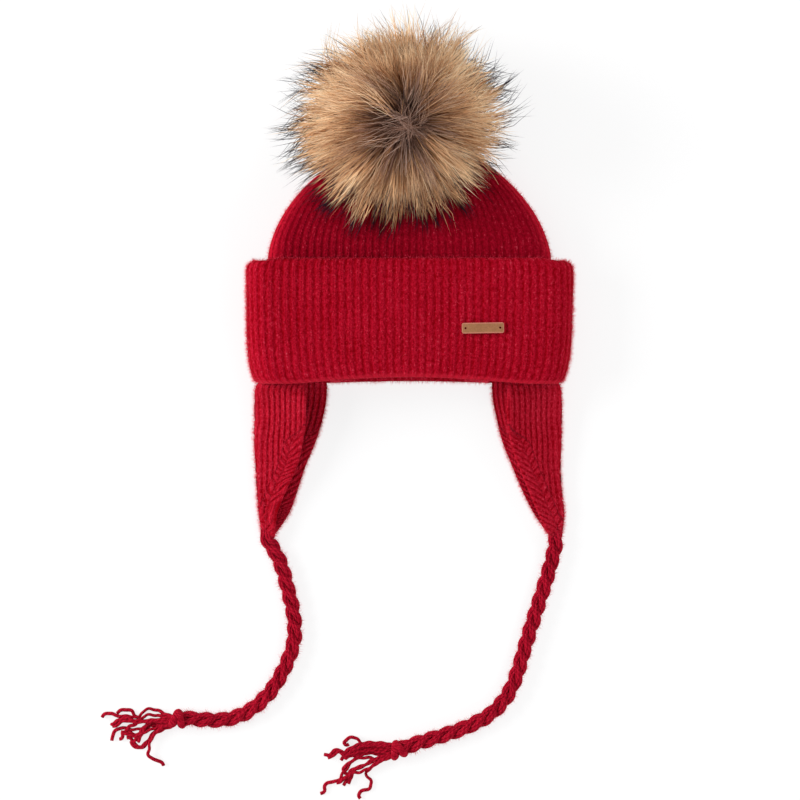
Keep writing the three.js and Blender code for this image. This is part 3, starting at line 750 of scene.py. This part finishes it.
def flap_field(walked, edge, y, slope, on_front):
    """Ribs and rows at a place. Ribs count from the fold, or on the rear part from its
    edge. On the border they slant across it, and lean the other way where it meets the
    ribs, so that the two make a chevron."""
    stretch = np.sqrt(1 + slope**2)
    inward = edge / stretch
    width = BORDER * soft_step((BORDER_START - y) / 0.014)
    down = y * stretch
    in_border = inward < width
    beside = (inward < width * 1.75) & ~in_border
    plain = np.where(on_front, walked, edge) / FLAP_RIB
    ribs = np.where(in_border, (down + 1.1 * inward) / STROKE, plain)
    ribs = np.where(beside, (down - 1.3 * inward) / (1.1 * STROKE), ribs)
    rows = np.where(in_border, (inward - 0.4 * down) / STITCH_ROW, y / STITCH_ROW)
    seam = np.exp(-(((inward - width) / 0.0008) ** 2)) * (width > 0.002)
    return ribs, rows, seam


def flap(name, table, swell, stands_for):
    """A folded panel: its middle line runs from the front edge to the fold, round half
    an ellipse and back to the rear edge, and its wall lies evenly to either side. The
    rear part swells up behind its edge by a share of the panel's half height."""
    side = np.sign(table[0][1])
    table = np.array(table) * (1, side, side, side, 1, 1)
    y = np.r_[np.linspace(-0.064, -0.080, 5), np.arange(-0.081, -0.1937, -0.0010), -0.1945, -0.1955, -0.1963]
    columns = flowing(-np.clip(y, table[-1, 0], None), -table[:, 0], table[:, 1:])
    fold, front, back, bottom, top = (columns[:, [k]] for k in range(5))
    half = FLAP_WALL / 2
    rise = (top - bottom) / 2 - half
    middle = (top + bottom) / 2
    bend = np.minimum(0.8 * rise, 0.4 * (fold - front))
    edge_x = front + half
    rear_x = back + half
    run = fold - half - bend
    over = np.linspace(0, 1, FRONT_STEPS)[None]
    turn = np.linspace(np.pi / 2, -np.pi / 2, 16)[None, 1:-1]
    under = np.linspace(0, 1, 60)[None]
    tilt = rise * (0.5 + 0.4 * soft_step((-0.080 - y[:, None]) / 0.020)) * soft_step(rise / 0.006)
    front_z = middle + rise - tilt * over
    bend_z = middle - tilt / 2 + (rise - tilt / 2) * np.sin(turn)
    front_x = edge_x + (run - edge_x) * over
    x = np.concatenate([front_x, run + bend * np.cos(turn), run + (rear_x - run) * under], axis=1)
    puffed = swell * rise * soft_step((rise - 0.005) / 0.004)
    rear_z = middle - rise + puffed * soft_step((1 - under) / 0.30) * soft_step(under / 0.25)
    z = np.concatenate([front_z, bend_z, rear_z], axis=1)
    line = np.stack([x, z], axis=2)
    ahead = unit(np.gradient(line, axis=1))
    square = ahead[..., ::-1] * (-1, 1)
    walked = np.pad(np.cumsum(np.linalg.norm(np.diff(line, axis=1), axis=2), axis=1), ((0, 0), (1, 0)))
    last = walked[:, -1:]
    turned = walked[:, [FRONT_STEPS]]
    front_slope = np.gradient(edge_x[:, 0], y)[:, None]
    rear_slope = np.gradient(rear_x[:, 0], y)[:, None]
    on_front = np.arange(x.shape[1])[None] < FRONT_STEPS + 6
    edge = np.where(on_front, walked, last - walked)
    slope = np.where(on_front, front_slope, rear_slope)
    ribs, rows, seam = flap_field(np.abs(walked - turned), edge, y[:, None], slope, on_front)
    relief = rib_relief(ribs, rows) * (1 - 0.7 * seam)
    reach = (half - FLAP_RELIEF * (1 - relief))[..., None]
    cap = np.linspace(0, np.pi, EDGE_STEPS + 2)[1:-1, None]

    def rounded(end, way):
        """The half circle round a free edge, from one face of the wall to the other."""
        out = ahead[:, [end]] * np.sin(cap) + square[:, [end]] * np.cos(cap)
        return line[:, [end]] + (half - EDGE_LESS) * way * out

    inner = (line - square * reach)[:, ::-1]
    ring = np.concatenate([line + square * reach, rounded(-1, 1), inner, rounded(0, -1)], axis=1)
    close = np.ones((len(y), 1, 1))
    close[-3:, 0, 0] = (0.85, 0.55, 0.0)
    close[0] = 0.0
    ring = ring * close + ring.mean(axis=1, keepdims=True) * (1 - close)
    ring_x, ring_z = np.moveaxis(ring, 2, 0)
    sway = ripple(ring_x * side, y[:, None] + ring_z, FLAP_RIPPLE, 12)
    high = np.maximum(ring_z, KNIT_LOWEST)
    points = np.stack([side * (ring_x + sway), y[:, None] + 0 * ring_x, high], axis=2)
    faces, corner_row, corner_column = weave(*ring_x.shape, False)
    steps = np.arange(x.shape[1])
    rear = np.full(EDGE_STEPS, steps[-1])
    step = np.r_[steps, rear, steps[::-1], 0 * rear][corner_column % ring_x.shape[1]]
    knit = (ribs[corner_row, step], rows[corner_row, step])
    bake = (corner_column / ring_x.shape[1], corner_row / (len(y) - 1))
    maps = {"Knit": knit, "OFBake": bake}
    return add_piece(name, points.reshape(-1, 3), faces, maps, lit_flap_finish, "wool", stands_for)


# The flaps' wool has lighter colours than the cuff's: painted light, as more light falls on the flaps.
lit_flap_finish = wool_finish("lit_flap_wool", "stitch", lit=(0.47, 0.0105, 0.030, 1), deep=(0.245, 0.0, 0.004, 1))
flap_left = flap("flap_panel_left", left_flap, 0, ["flap_left"])
flap_right = flap("flap_panel_right", right_flap, 0.55, ["flap_right"])


# Pompom: a round of long-haired pelt, gathered into a ball and sewn to the crown's
# tip. Its hairs part at a whorl and sweep away from it in locks, grey-brown at the
# roots, golden further out, with cream or blue-black tips.
POMPOM_MIDDLE = np.array((-0.0075, 0.1100, 0.0560))
WHORL = np.array((0.12, -0.24, 0.96))
FUR_REACH = 0.0710
FUR_ROOT = 0.024
TIP_SAG = 0.004
FUR_CLEAR = 0.003
HAIR_LOWEST = 0.0006
HAIR_SPREAD = 0.004
HAIR_TIP = 0.00004
MOST_UPWARD = 0.080
MORE_SIDEWAYS = 0.020
SWEEP = 0.66
LOCKS = 760
GOLDEN_TURN = np.pi * (3 - np.sqrt(5))
ANY_WAY = (0.31, 0.52, 0.79)
TONE_STEPS = 60.0
TAUPE_STOPS = [
    (0.0, (0.17, 0.105, 0.086, 1)),
    (0.55, (0.31, 0.198, 0.160, 1)),
    (0.80, (0.44, 0.285, 0.228, 1)),
    (1.0, (0.59, 0.395, 0.312, 1)),
]
GOLDEN_STOPS = [
    (0.0, (0.18, 0.090, 0.052, 1)),
    (0.35, (0.50, 0.265, 0.138, 1)),
    (0.55, (0.95, 0.56, 0.290, 1)),
    (0.85, (1.0, 0.70, 0.41, 1)),
    (1.0, (1.0, 0.80, 0.57, 1)),
]

whorl_up = unit(WHORL)
whorl_side = unit(np.cross((0, 1, 0), whorl_up))
whorl_ahead = np.cross(whorl_up, whorl_side)


def facing(polar, turn):
    """The direction at an angle from the whorl and a turn about it."""
    flat = whorl_side * np.cos(turn)[..., None] + whorl_ahead * np.sin(turn)[..., None]
    return whorl_up * np.cos(polar)[..., None] + flat * np.sin(polar)[..., None]


def crown_cover(x, y):
    """How high the crown stands above the floor at a place, and 0 beside it."""
    half = np.maximum(crown_width(y), 0.004)
    inside = np.clip(1 - np.abs(x / half) ** 5, 0, 1) ** 0.5
    return np.where((y > CROWN_BASE) & (y < 0.100), (crown_top(y) + FUR_CLEAR) * inside, 0.0)


def prisms(lines, radius):
    """Thin three-sided prisms along lines of equal count, each drawn out to a point:
    points, triangles and the share of the length at each corner."""
    count, steps, _ = lines.shape
    forward = unit(np.gradient(lines, axis=1))
    side = unit(np.cross(forward, ANY_WAY))
    up = np.cross(side, forward)
    angle = np.arange(3) * 2 * np.pi / 3
    out = side[:, :-1, None] * np.cos(angle)[:, None] + up[:, :-1, None] * np.sin(angle)[:, None]
    rings = lines[:, :-1, None] + out * radius[:, :-1, None, None]
    points = np.concatenate([rings.reshape(count, -1, 3), lines[:, -1:]], axis=1)
    faces = [(0, 2, 1)]
    for ring in range(steps - 2):
        for corner in range(3):
            here = 3 * ring + corner
            there = 3 * ring + (corner + 1) % 3
            faces += [(here, there, there + 3), (here, there + 3, here + 3)]
    tip = 3 * (steps - 1)
    faces += [(tip - 3 + corner, tip - 3 + (corner + 1) % 3, tip) for corner in range(3)]
    faces = np.array(faces)
    share = np.r_[np.repeat(np.arange(steps - 1), 3), steps - 1] / (steps - 1)
    every = (faces[None] + np.arange(count)[:, None, None] * (tip + 1)).reshape(-1, 3)
    return points.reshape(-1, 3), every, np.tile(share[faces], (count, 1))


def fur_finish():
    """Colour along a hair from root to tip. A hair's tone says what it is: below 0.25 a
    cream tip, from 0.28 to 0.66 grey-brown near the whorl to golden far from it, and
    above 0.70 a blue-black tip."""
    made, shader, start = new_finish("pelt", Roughness=0.75, Specular_IOR_Level=0.03)
    hair = start.add("ShaderNodeUVMap", {"uv_map": "OFBake"})
    tone = start.part(hair, 0)
    along = start.part(hair, 1)
    near = start.add("ShaderNodeValToRGB", {"stops": TAUPE_STOPS}, s0=along)
    far = start.add("ShaderNodeValToRGB", {"stops": GOLDEN_STOPS}, s0=along)
    zone = start.add("ShaderNodeMapRange", None, Value=tone, From_Min=0.30, From_Max=0.64)
    sides = 1.0 - tone.within(0.24, 0.28)
    colour = start.math("MAXIMUM", zone, sides).mix(near, far)
    cream = along.within(0.45, 0.85) * sides
    dark = along.within(0.62, 0.78) * tone.within(0.67, 0.70)
    colour = cream.mix(colour, (1.0, 0.79, 0.53, 1))
    colour = dark.mix(colour, (0.016, 0.015, 0.028, 1))
    shade = start.math("FRACT", tone * TONE_STEPS, 0) * 0.92 + 0.28
    browner = start.math("POWER", shade, 1.35)
    warmest = start.math("POWER", shade, 1.55)
    darkened = start.add("ShaderNodeCombineColor", None, s0=shade, s1=browner, s2=warmest)
    multiply = {"data_type": "RGBA", "blend_type": "MULTIPLY"}
    colour = start.add("ShaderNodeMix", multiply, out=2, s0=1.0, s6=colour, s7=darkened)
    colour.feed(shader, "Base Color")
    return made


pelt = fur_finish()
lock_step = np.arange(LOCKS) + 0.5
lock_draw = np.random.default_rng(5)
lock_polar = np.arccos(1 - 2 * lock_step / LOCKS) + lock_draw.normal(0, 0.06, LOCKS)
lock_turn = lock_step * GOLDEN_TURN + lock_draw.normal(0, 0.14, LOCKS)
lock_swirl = lock_draw.normal(0.12, 0.30, LOCKS)
lock_length = lock_draw.uniform(0.89, 1.09, LOCKS)
lock_shade = lock_draw.uniform(0, 1, LOCKS)
lock_zone = lock_draw.normal(0, 0.17, LOCKS)
lock_way = facing(lock_polar, lock_turn)


def hair_ways(draw, polar, turn, near, part, sweep, gather):
    """Each hair's direction from the middle along its length. Its angle from the whorl
    grows by the sweep on the way out, it swirls about the whorl with its lock, and
    towards the tip it is drawn to its lock's middle, more so on the lower side."""
    count = len(polar)
    grown = part**1.2 - 0.15
    swept = sweep * (1 - np.clip(polar, 0, np.pi) / np.pi)[:, None] * draw.uniform(0.8, 1.15, (count, 1))
    calm = 0.15 + 0.85 * soft_step(0.7 + 1.2 * lock_way[near][:, 1:2])
    swirl = (draw.normal(0, 0.14, (count, 1)) + 0.8 * lock_swirl[near][:, None]) * calm
    own = facing(polar[:, None] + swept * grown, turn[:, None] + swirl * part)
    lock_swept = sweep * (1 - np.clip(lock_polar[near], 0, np.pi) / np.pi)[:, None]
    lock_bend = calm * lock_swirl[near][:, None] * part
    shared = facing(lock_polar[near][:, None] + lock_swept * grown, lock_turn[near][:, None] + lock_bend)
    lower = soft_step(0.5 - own[:, -1:, 1] * 1.2)
    pull = np.minimum(gather * (0.62 + 0.38 * lower), 0.92) * part**1.6
    way = own + (shared - own) * pull[..., None]
    way += draw.normal(0, 0.035, (count, 1, 3)) * part[..., None]
    wave = 0.02 * np.sin(7 * part + draw.uniform(0, 6, (count, 1)))
    way += wave[..., None] * draw.normal(0, 1, (count, 1, 3))
    return unit(way)


def hair_tones(draw, ending, near, ring, wild, pale):
    """What each hair is, from the way its tip points: dark at the flanks, the lower left
    corner and the lower hem by the ring, and at the top end by the wild, cream by the
    pale and at the top, and else grey-brown near the whorl and golden far from it. The
    cream at the top is partly the fur's pale tips and partly painted light through the
    thin hair there; the dark of the lower hem is partly dark tips and partly painted
    shadow on the crown. Gives its tone, whether it is dark, and how much longer it is
    for that."""
    x, y, z = ending.T
    count = len(x)
    flank = soft_step((np.abs(x) - 0.60) / 0.3) * soft_step((0.40 - z) / 0.5)
    corner = soft_step((-x - 0.35) / 0.3) * soft_step((-y - 0.25) / 0.3) * (z < 0.3)
    # Dark hairs along the lower hem: partly dark tips, partly painted shadow on the crown.
    hem = 0.55 * soft_step((-y - 0.45) / 0.3) * (z < 0.35)
    wisp = wild * soft_step(0.6 - z) * soft_step(y * 2)
    ringed = ring * np.maximum(np.maximum(flank, corner), hem)
    dark = draw.uniform(0, 1, count) < 0.015 + np.maximum(ringed, wisp)
    over = np.arccos(np.clip(ending @ whorl_up, -1, 1)) - 0.12 * np.abs(y) + 0.07 * x
    zone = soft_step((over - 0.50) / 0.50 + lock_zone[near] + draw.normal(0, 0.10, count))
    # Cream at the top end: partly pale tips, partly painted light through the thin hair.
    light = soft_step(y * 1.5) * soft_step(0.85 - z)
    cream = ~dark & (draw.uniform(0, 1, count) < pale * zone + 0.65 * light)
    tone = np.where(dark, draw.uniform(0.74, 0.97, count), 0.31 + 0.32 * zone)
    tone = np.where(cream, draw.uniform(0.02, 0.22, count), tone)
    shade = np.clip(0.6 * lock_shade[near] + 0.4 * draw.uniform(0, 1, count), 0.02, 0.98)
    tone = (np.floor(tone * TONE_STEPS) + shade) / TONE_STEPS
    return tone, dark, (0.40 * hem + 0.65 * wisp) * dark


def hair_lengths(draw, ending, near, reach, longer):
    """The reach times the lock's own length, a little more at the sides and less at the
    top end, the upper left and the hem, as the ball is wider than it is long."""
    x, y, z = ending.T
    shape = 1 + 0.05 * np.abs(x) - 0.05 * np.abs(y) - 0.11 * np.maximum(y, 0)
    shape = shape - 0.2 * np.maximum(0.7 * y - 0.7 * x - 0.6, 0) - 0.06 * np.maximum(-y - 0.3, 0)
    length = reach * lock_length[near] * draw.uniform(0.88, 1.06, len(x)) * shape * (1 + longer)
    return np.minimum(length, MOST_UPWARD + MORE_SIDEWAYS * (z < 0.6))


def fur(
    name, count, steps, seed, reach, thickness, gather,
    sweep=SWEEP, first=0.0, cap=1.0, wild=0.0, ring=0.12, pale=0.10, stands_for=(),
):
    """Hairs from a small ball at the middle, over the cap of its surface round the whorl
    from the first share of it on. They sag a little to the tip and lie on the crown and
    the surface where they reach them."""
    draw = np.random.default_rng(seed)
    step = np.arange(count) + 0.5
    share = first + (cap - first) * (step / count) ** 1.1
    polar = np.arccos(1 - 2 * share) + draw.normal(0, 0.05, count)
    turn = step * GOLDEN_TURN + draw.normal(0, 0.06, count)
    near = np.argmax(facing(polar, turn) @ lock_way.T, axis=1)
    part = np.linspace(0, 1, steps)[None]
    way = hair_ways(draw, polar, turn, near, part, sweep, gather)
    ending = way[:, -1]
    tone, dark, longer = hair_tones(draw, ending, near, ring, wild, pale)
    length = hair_lengths(draw, ending, near, reach, longer)
    far = FUR_ROOT + (length[:, None] - FUR_ROOT) * part**0.9
    points = POMPOM_MIDDLE + way * far[..., None]
    points[..., 2] -= TIP_SAG * part**2
    below = HAIR_LOWEST + HAIR_SPREAD * draw.uniform(0, 1, (count, 1))
    lowest = np.maximum(below, crown_cover(points[..., 0], points[..., 1]) + 0.25 * below)
    points[..., 2] = np.maximum(points[..., 2], lowest)
    thick = thickness * draw.uniform(0.75, 1.2, (count, 1)) * (1 + 0.3 * dark[:, None])
    solid, faces, along = prisms(points, thick * (1 - part) ** 0.55 + HAIR_TIP)
    across = np.repeat(tone, len(faces) // count)[:, None] + 0 * along
    maps = {"OFBake": (across, along)}
    return add_piece(name, solid, faces, maps, pelt, "fur", stands_for)


fur("pompom_under_fur", 6600, 4, 21, FUR_REACH * 0.87, 0.00040, 0.45, stands_for=["pompom"])
fur("pompom_locks", 8900, 5, 22, FUR_REACH, 0.00034, 0.95, pale=0.08)
fur("pompom_guard_hairs", 3400, 5, 23, FUR_REACH * 1.08, 0.00027, 0.30, wild=0.3, pale=0.30)
fur("pompom_dark_tips", 1900, 5, 25, FUR_REACH * 1.28, 0.00032, 1.30, first=0.36, cap=0.78, ring=0.95)
fur("pompom_whorl_strands", 250, 6, 24, FUR_REACH * 0.86, 0.00018, 0.2, sweep=-0.75, cap=0.10)


# Label: a small plate of tan leather, stitched to the cuff through a hole at
# each end. Its cut edges are rounded off and rubbed paler.
LABEL_PLACE = (0.0532, -0.0420, 0.0398)
LABEL_TILT = 0.0209
LABEL_TURN = 0.0175
LABEL_LENGTH = 0.0306
LABEL_WIDTH = 0.0077
LABEL_THICK = 0.0012
LABEL_CORNER = 0.0014
LABEL_HOLE = 0.0008
LABEL_INSET = 0.0027
LABEL_ROUND = 0.00025
LEATHER_DEEP = (0.235, 0.095, 0.036, 1)
LEATHER_LIT = (0.37, 0.165, 0.070, 1)
LEATHER_RIM = (0.58, 0.20, 0.145, 1)


def label_finish():
    """Tan leather, paler towards its rubbed rim, with a fine grain."""
    made, shader, start = new_finish("tan_leather", Roughness=0.6, Specular_IOR_Level=0.35)
    spot = start.add("ShaderNodeTexCoord", None, out=3)
    tidy = start.add("ShaderNodeUVMap", {"uv_map": "OFBake"})
    grain = start.grain(spot, 900, 4.0, 0.6)
    cloud = start.grain(spot, 160, 2.0)
    across = abs(start.part(tidy, 0) - 0.5)
    down = abs(start.part(tidy, 1) - 0.5)
    rim = start.math("MAXIMUM", across.within(0.462, 0.492), down.within(0.34, 0.46))
    body = (grain * 0.6 + cloud * 0.4).within(0.25, 0.75).mix(LEATHER_DEEP, LEATHER_LIT)
    colour = (rim * 0.75).mix(body, LEATHER_RIM)
    colour.feed(shader, "Base Color")
    bump = start.add("ShaderNodeBump", None, Height=grain, Distance=0.0002, Strength=0.5)
    bump.feed(shader, "Normal")
    return made


def circle(x, reach, count):
    """A closed line of points round a place on the label's middle line."""
    angle = np.linspace(0, 2 * np.pi, count, endpoint=False)
    return np.stack([x + reach * np.cos(angle), reach * np.sin(angle)], axis=1)


def values_of(items, name, width, kind):
    """One property of all of a mesh's points or corners, a row of values for each."""
    values = np.empty(len(items) * width, kind)
    items.foreach_get(name, values)
    return values.reshape(-1, width)


def label_plate():
    """A flat curve filled between its rim and its holes, raised and rounded off."""
    curve = bpy.data.curves.new("label_outline", "CURVE")
    curve.dimensions = "2D"
    curve.fill_mode = "BOTH"
    curve.extrude = LABEL_THICK / 2 - LABEL_ROUND
    curve.bevel_depth = LABEL_ROUND
    curve.bevel_resolution = 2
    straight_x = LABEL_LENGTH / 2 - LABEL_CORNER
    straight_y = LABEL_WIDTH / 2 - LABEL_CORNER
    angle = np.linspace(0, 2 * np.pi, 40, endpoint=False) + np.pi / 40
    rim_x = np.sign(np.cos(angle)) * straight_x + (LABEL_CORNER - LABEL_ROUND) * np.cos(angle)
    rim_y = np.sign(np.sin(angle)) * straight_y + (LABEL_CORNER - LABEL_ROUND) * np.sin(angle)
    hole = LABEL_LENGTH / 2 - LABEL_INSET
    loops = [np.stack([rim_x, rim_y], axis=1)]
    loops += [circle(way * hole, LABEL_HOLE + LABEL_ROUND, 16) for way in (-1, 1)]
    for loop in loops:
        spline = curve.splines.new("POLY")
        spline.points.add(len(loop) - 1)
        spline.points.foreach_set("co", np.c_[loop, np.zeros(len(loop)), np.ones(len(loop))].ravel())
        spline.use_cyclic_u = True
    shape = stand("label_outline", curve)
    mesh = bpy.data.meshes.new_from_object(shape)
    bpy.data.objects.remove(shape)
    tidy = bmesh.new()
    tidy.from_mesh(mesh)
    bmesh.ops.remove_doubles(tidy, verts=tidy.verts, dist=0.00001)
    bmesh.ops.recalc_face_normals(tidy, faces=tidy.faces)
    tidy.to_mesh(mesh)
    tidy.free()
    flat = values_of(mesh.vertices, "co", 3, float)
    corners = values_of(mesh.loops, "vertex_index", 1, int)[:, 0]
    pairs = flat[corners, :2] / (LABEL_LENGTH, LABEL_WIDTH) * 0.98 + 0.5
    lay_map(mesh, "OFBake", pairs)
    x = flat[:, 0] * np.cos(LABEL_TURN) - flat[:, 1] * np.sin(LABEL_TURN)
    y = flat[:, 0] * np.sin(LABEL_TURN) + flat[:, 1] * np.cos(LABEL_TURN)
    z = flat[:, 2] + LABEL_THICK / 2 - x * LABEL_TILT
    placed = np.stack([x, y, z], axis=1) + LABEL_PLACE
    mesh.vertices.foreach_set("co", placed.ravel())
    mesh.materials.clear()
    mesh.materials.append(label_finish())
    piece = stand("label_plate", mesh)
    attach(piece, "root")
    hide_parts("label")
    return piece


label_plate()


# Fluff: wool yarn is hairy, and short loose fibres stand off the knitting and the
# plaits all over, which softens their outlines.
FLUFF_CELL = 0.0016
FLUFF_LONG = 0.0042
FLUFF_RADIUS = 0.00008
FLUFF_RED = (0.80, 0.050, 0.095, 1)

fluff, _, _ = new_finish("loose_fibre", Roughness=0.9, Specular_IOR_Level=0.0, Base_Color=FLUFF_RED)


def cells(places):
    """The number of the cell of a flat grid, seen from above, that each place lies in."""
    across, up = np.floor(places[:, :2].T / FLUFF_CELL).astype(int) + 2000
    return across * 4000 + up


def points_of(piece):
    """A piece's points and the directions its surface faces at them."""
    places = values_of(piece.data.vertices, "co", 3, np.float32)
    return places, values_of(piece.data.vertex_normals, "vector", 3, np.float32)


def fluff_on(piece, slot, count, seed):
    """Fibres from points drawn at random, most of them on the outline seen from above,
    where the cell that the surface faces is empty, and some on the cuff's upper lip.
    Each is straight, along the surface's own direction bent at random, and a few are
    long."""
    draw = np.random.default_rng(seed)
    places, normals = points_of(piece)
    faced = places + normals * (FLUFF_CELL * 1.5)
    rim = ~np.isin(cells(faced), taken) & (np.abs(normals[:, 2]) < 0.75)
    lip = (places[:, 1] > CUFF_TOP - 0.0025) & (normals[:, 2] > 0.1) & (piece is cuff)
    chance = (places[:, 2] > 0.0004) * (normals[:, 2] > -0.5) * (0.012 + np.maximum(rim, 0.35 * lip))
    picked = draw.choice(len(places), count, p=chance / chance.sum())
    way = unit(normals[picked] + draw.normal(0, 0.55, (count, 3)))
    reach = FLUFF_LONG * draw.uniform(0.45, 1.0, (count, 1)) ** 2
    roots = places[picked]
    lines = np.stack([roots, roots + reach * way], axis=1)
    lines[..., 2] = np.maximum(lines[..., 2], 0.0003)
    solid, faces, along = prisms(lines, np.full((count, 2), FLUFF_RADIUS))
    maps = {"OFBake": (along, along)}
    return add_piece(f"{piece.name}_fluff", solid, faces, maps, fluff, slot)


# A row is a knitted or plaited piece, its slot, how many fibres it has, and their seed.
woollen = [
    (cuff, "wool", 8700, 31),
    (crown, "wool", 2600, 32),
    (flap_left, "wool", 4200, 33),
    (flap_right, "wool", 4200, 34),
    (braids["left"][0], "wool_tie", 2200, 35),
    (braids["right"][0], "wool_tie", 2200, 36),
]
taken = np.unique(np.concatenate([cells(points_of(row[0])[0]) for row in woollen]))
for row in woollen:
    fluff_on(*row)


# Floor and light: a white table that glows a little, so that shadows on it stay
# faint, under soft light from all round that is strongest from the left.
FLOOR_HALF = 6.0
WHITE = (1.0, 1.0, 1.0, 1)
CARD = (0.26, 0.26, 0.262, 1)
GLOW = 0.76
SKY = 0.47
BOX_SIZE = 1.3
LIT_MIDDLE = (0, -0.09, 0)

floor_points = np.array([(-1, -1, 0), (1, -1, 0), (1, 1, 0), (-1, 1, 0)], float) * FLOOR_HALF
floor_mesh = bpy.data.meshes.new("table_top")
floor_mesh.from_pydata(floor_points.tolist(), [], [(0, 1, 2, 3)])
floor_finish, _, _ = new_finish(
    "white_card", Base_Color=CARD, Roughness=0.95, Specular_IOR_Level=0.0,
    Emission_Color=WHITE, Emission_Strength=GLOW,
)
floor_mesh.materials.append(floor_finish)
table_top = stand("table_top", floor_mesh)

world = bpy.data.worlds.new("studio")
world.use_nodes = True
world.node_tree.nodes["Background"].inputs["Color"].default_value = WHITE
world.node_tree.nodes["Background"].inputs["Strength"].default_value = SKY
bpy.context.scene.world = world


def soft_box(name, place, power):
    """A square area light that faces the hat's middle."""
    glow = bpy.data.lights.new(name, "AREA")
    glow.size = BOX_SIZE
    glow.energy = power
    lamp = stand(name, glow)
    lamp.location = place
    lamp.rotation_mode = "QUATERNION"
    lamp.rotation_quaternion = (Vector(LIT_MIDDLE) - Vector(place)).to_track_quat("-Z", "Y")


soft_box("left_light", (-1.9, 0.20, 0.80), 50)
soft_box("right_light", (1.5, 1.3, 0.9), 20)
soft_box("near_light", (0.9, -1.8, 0.8), 16)
bpy.context.scene.view_settings.view_transform = "Standard"
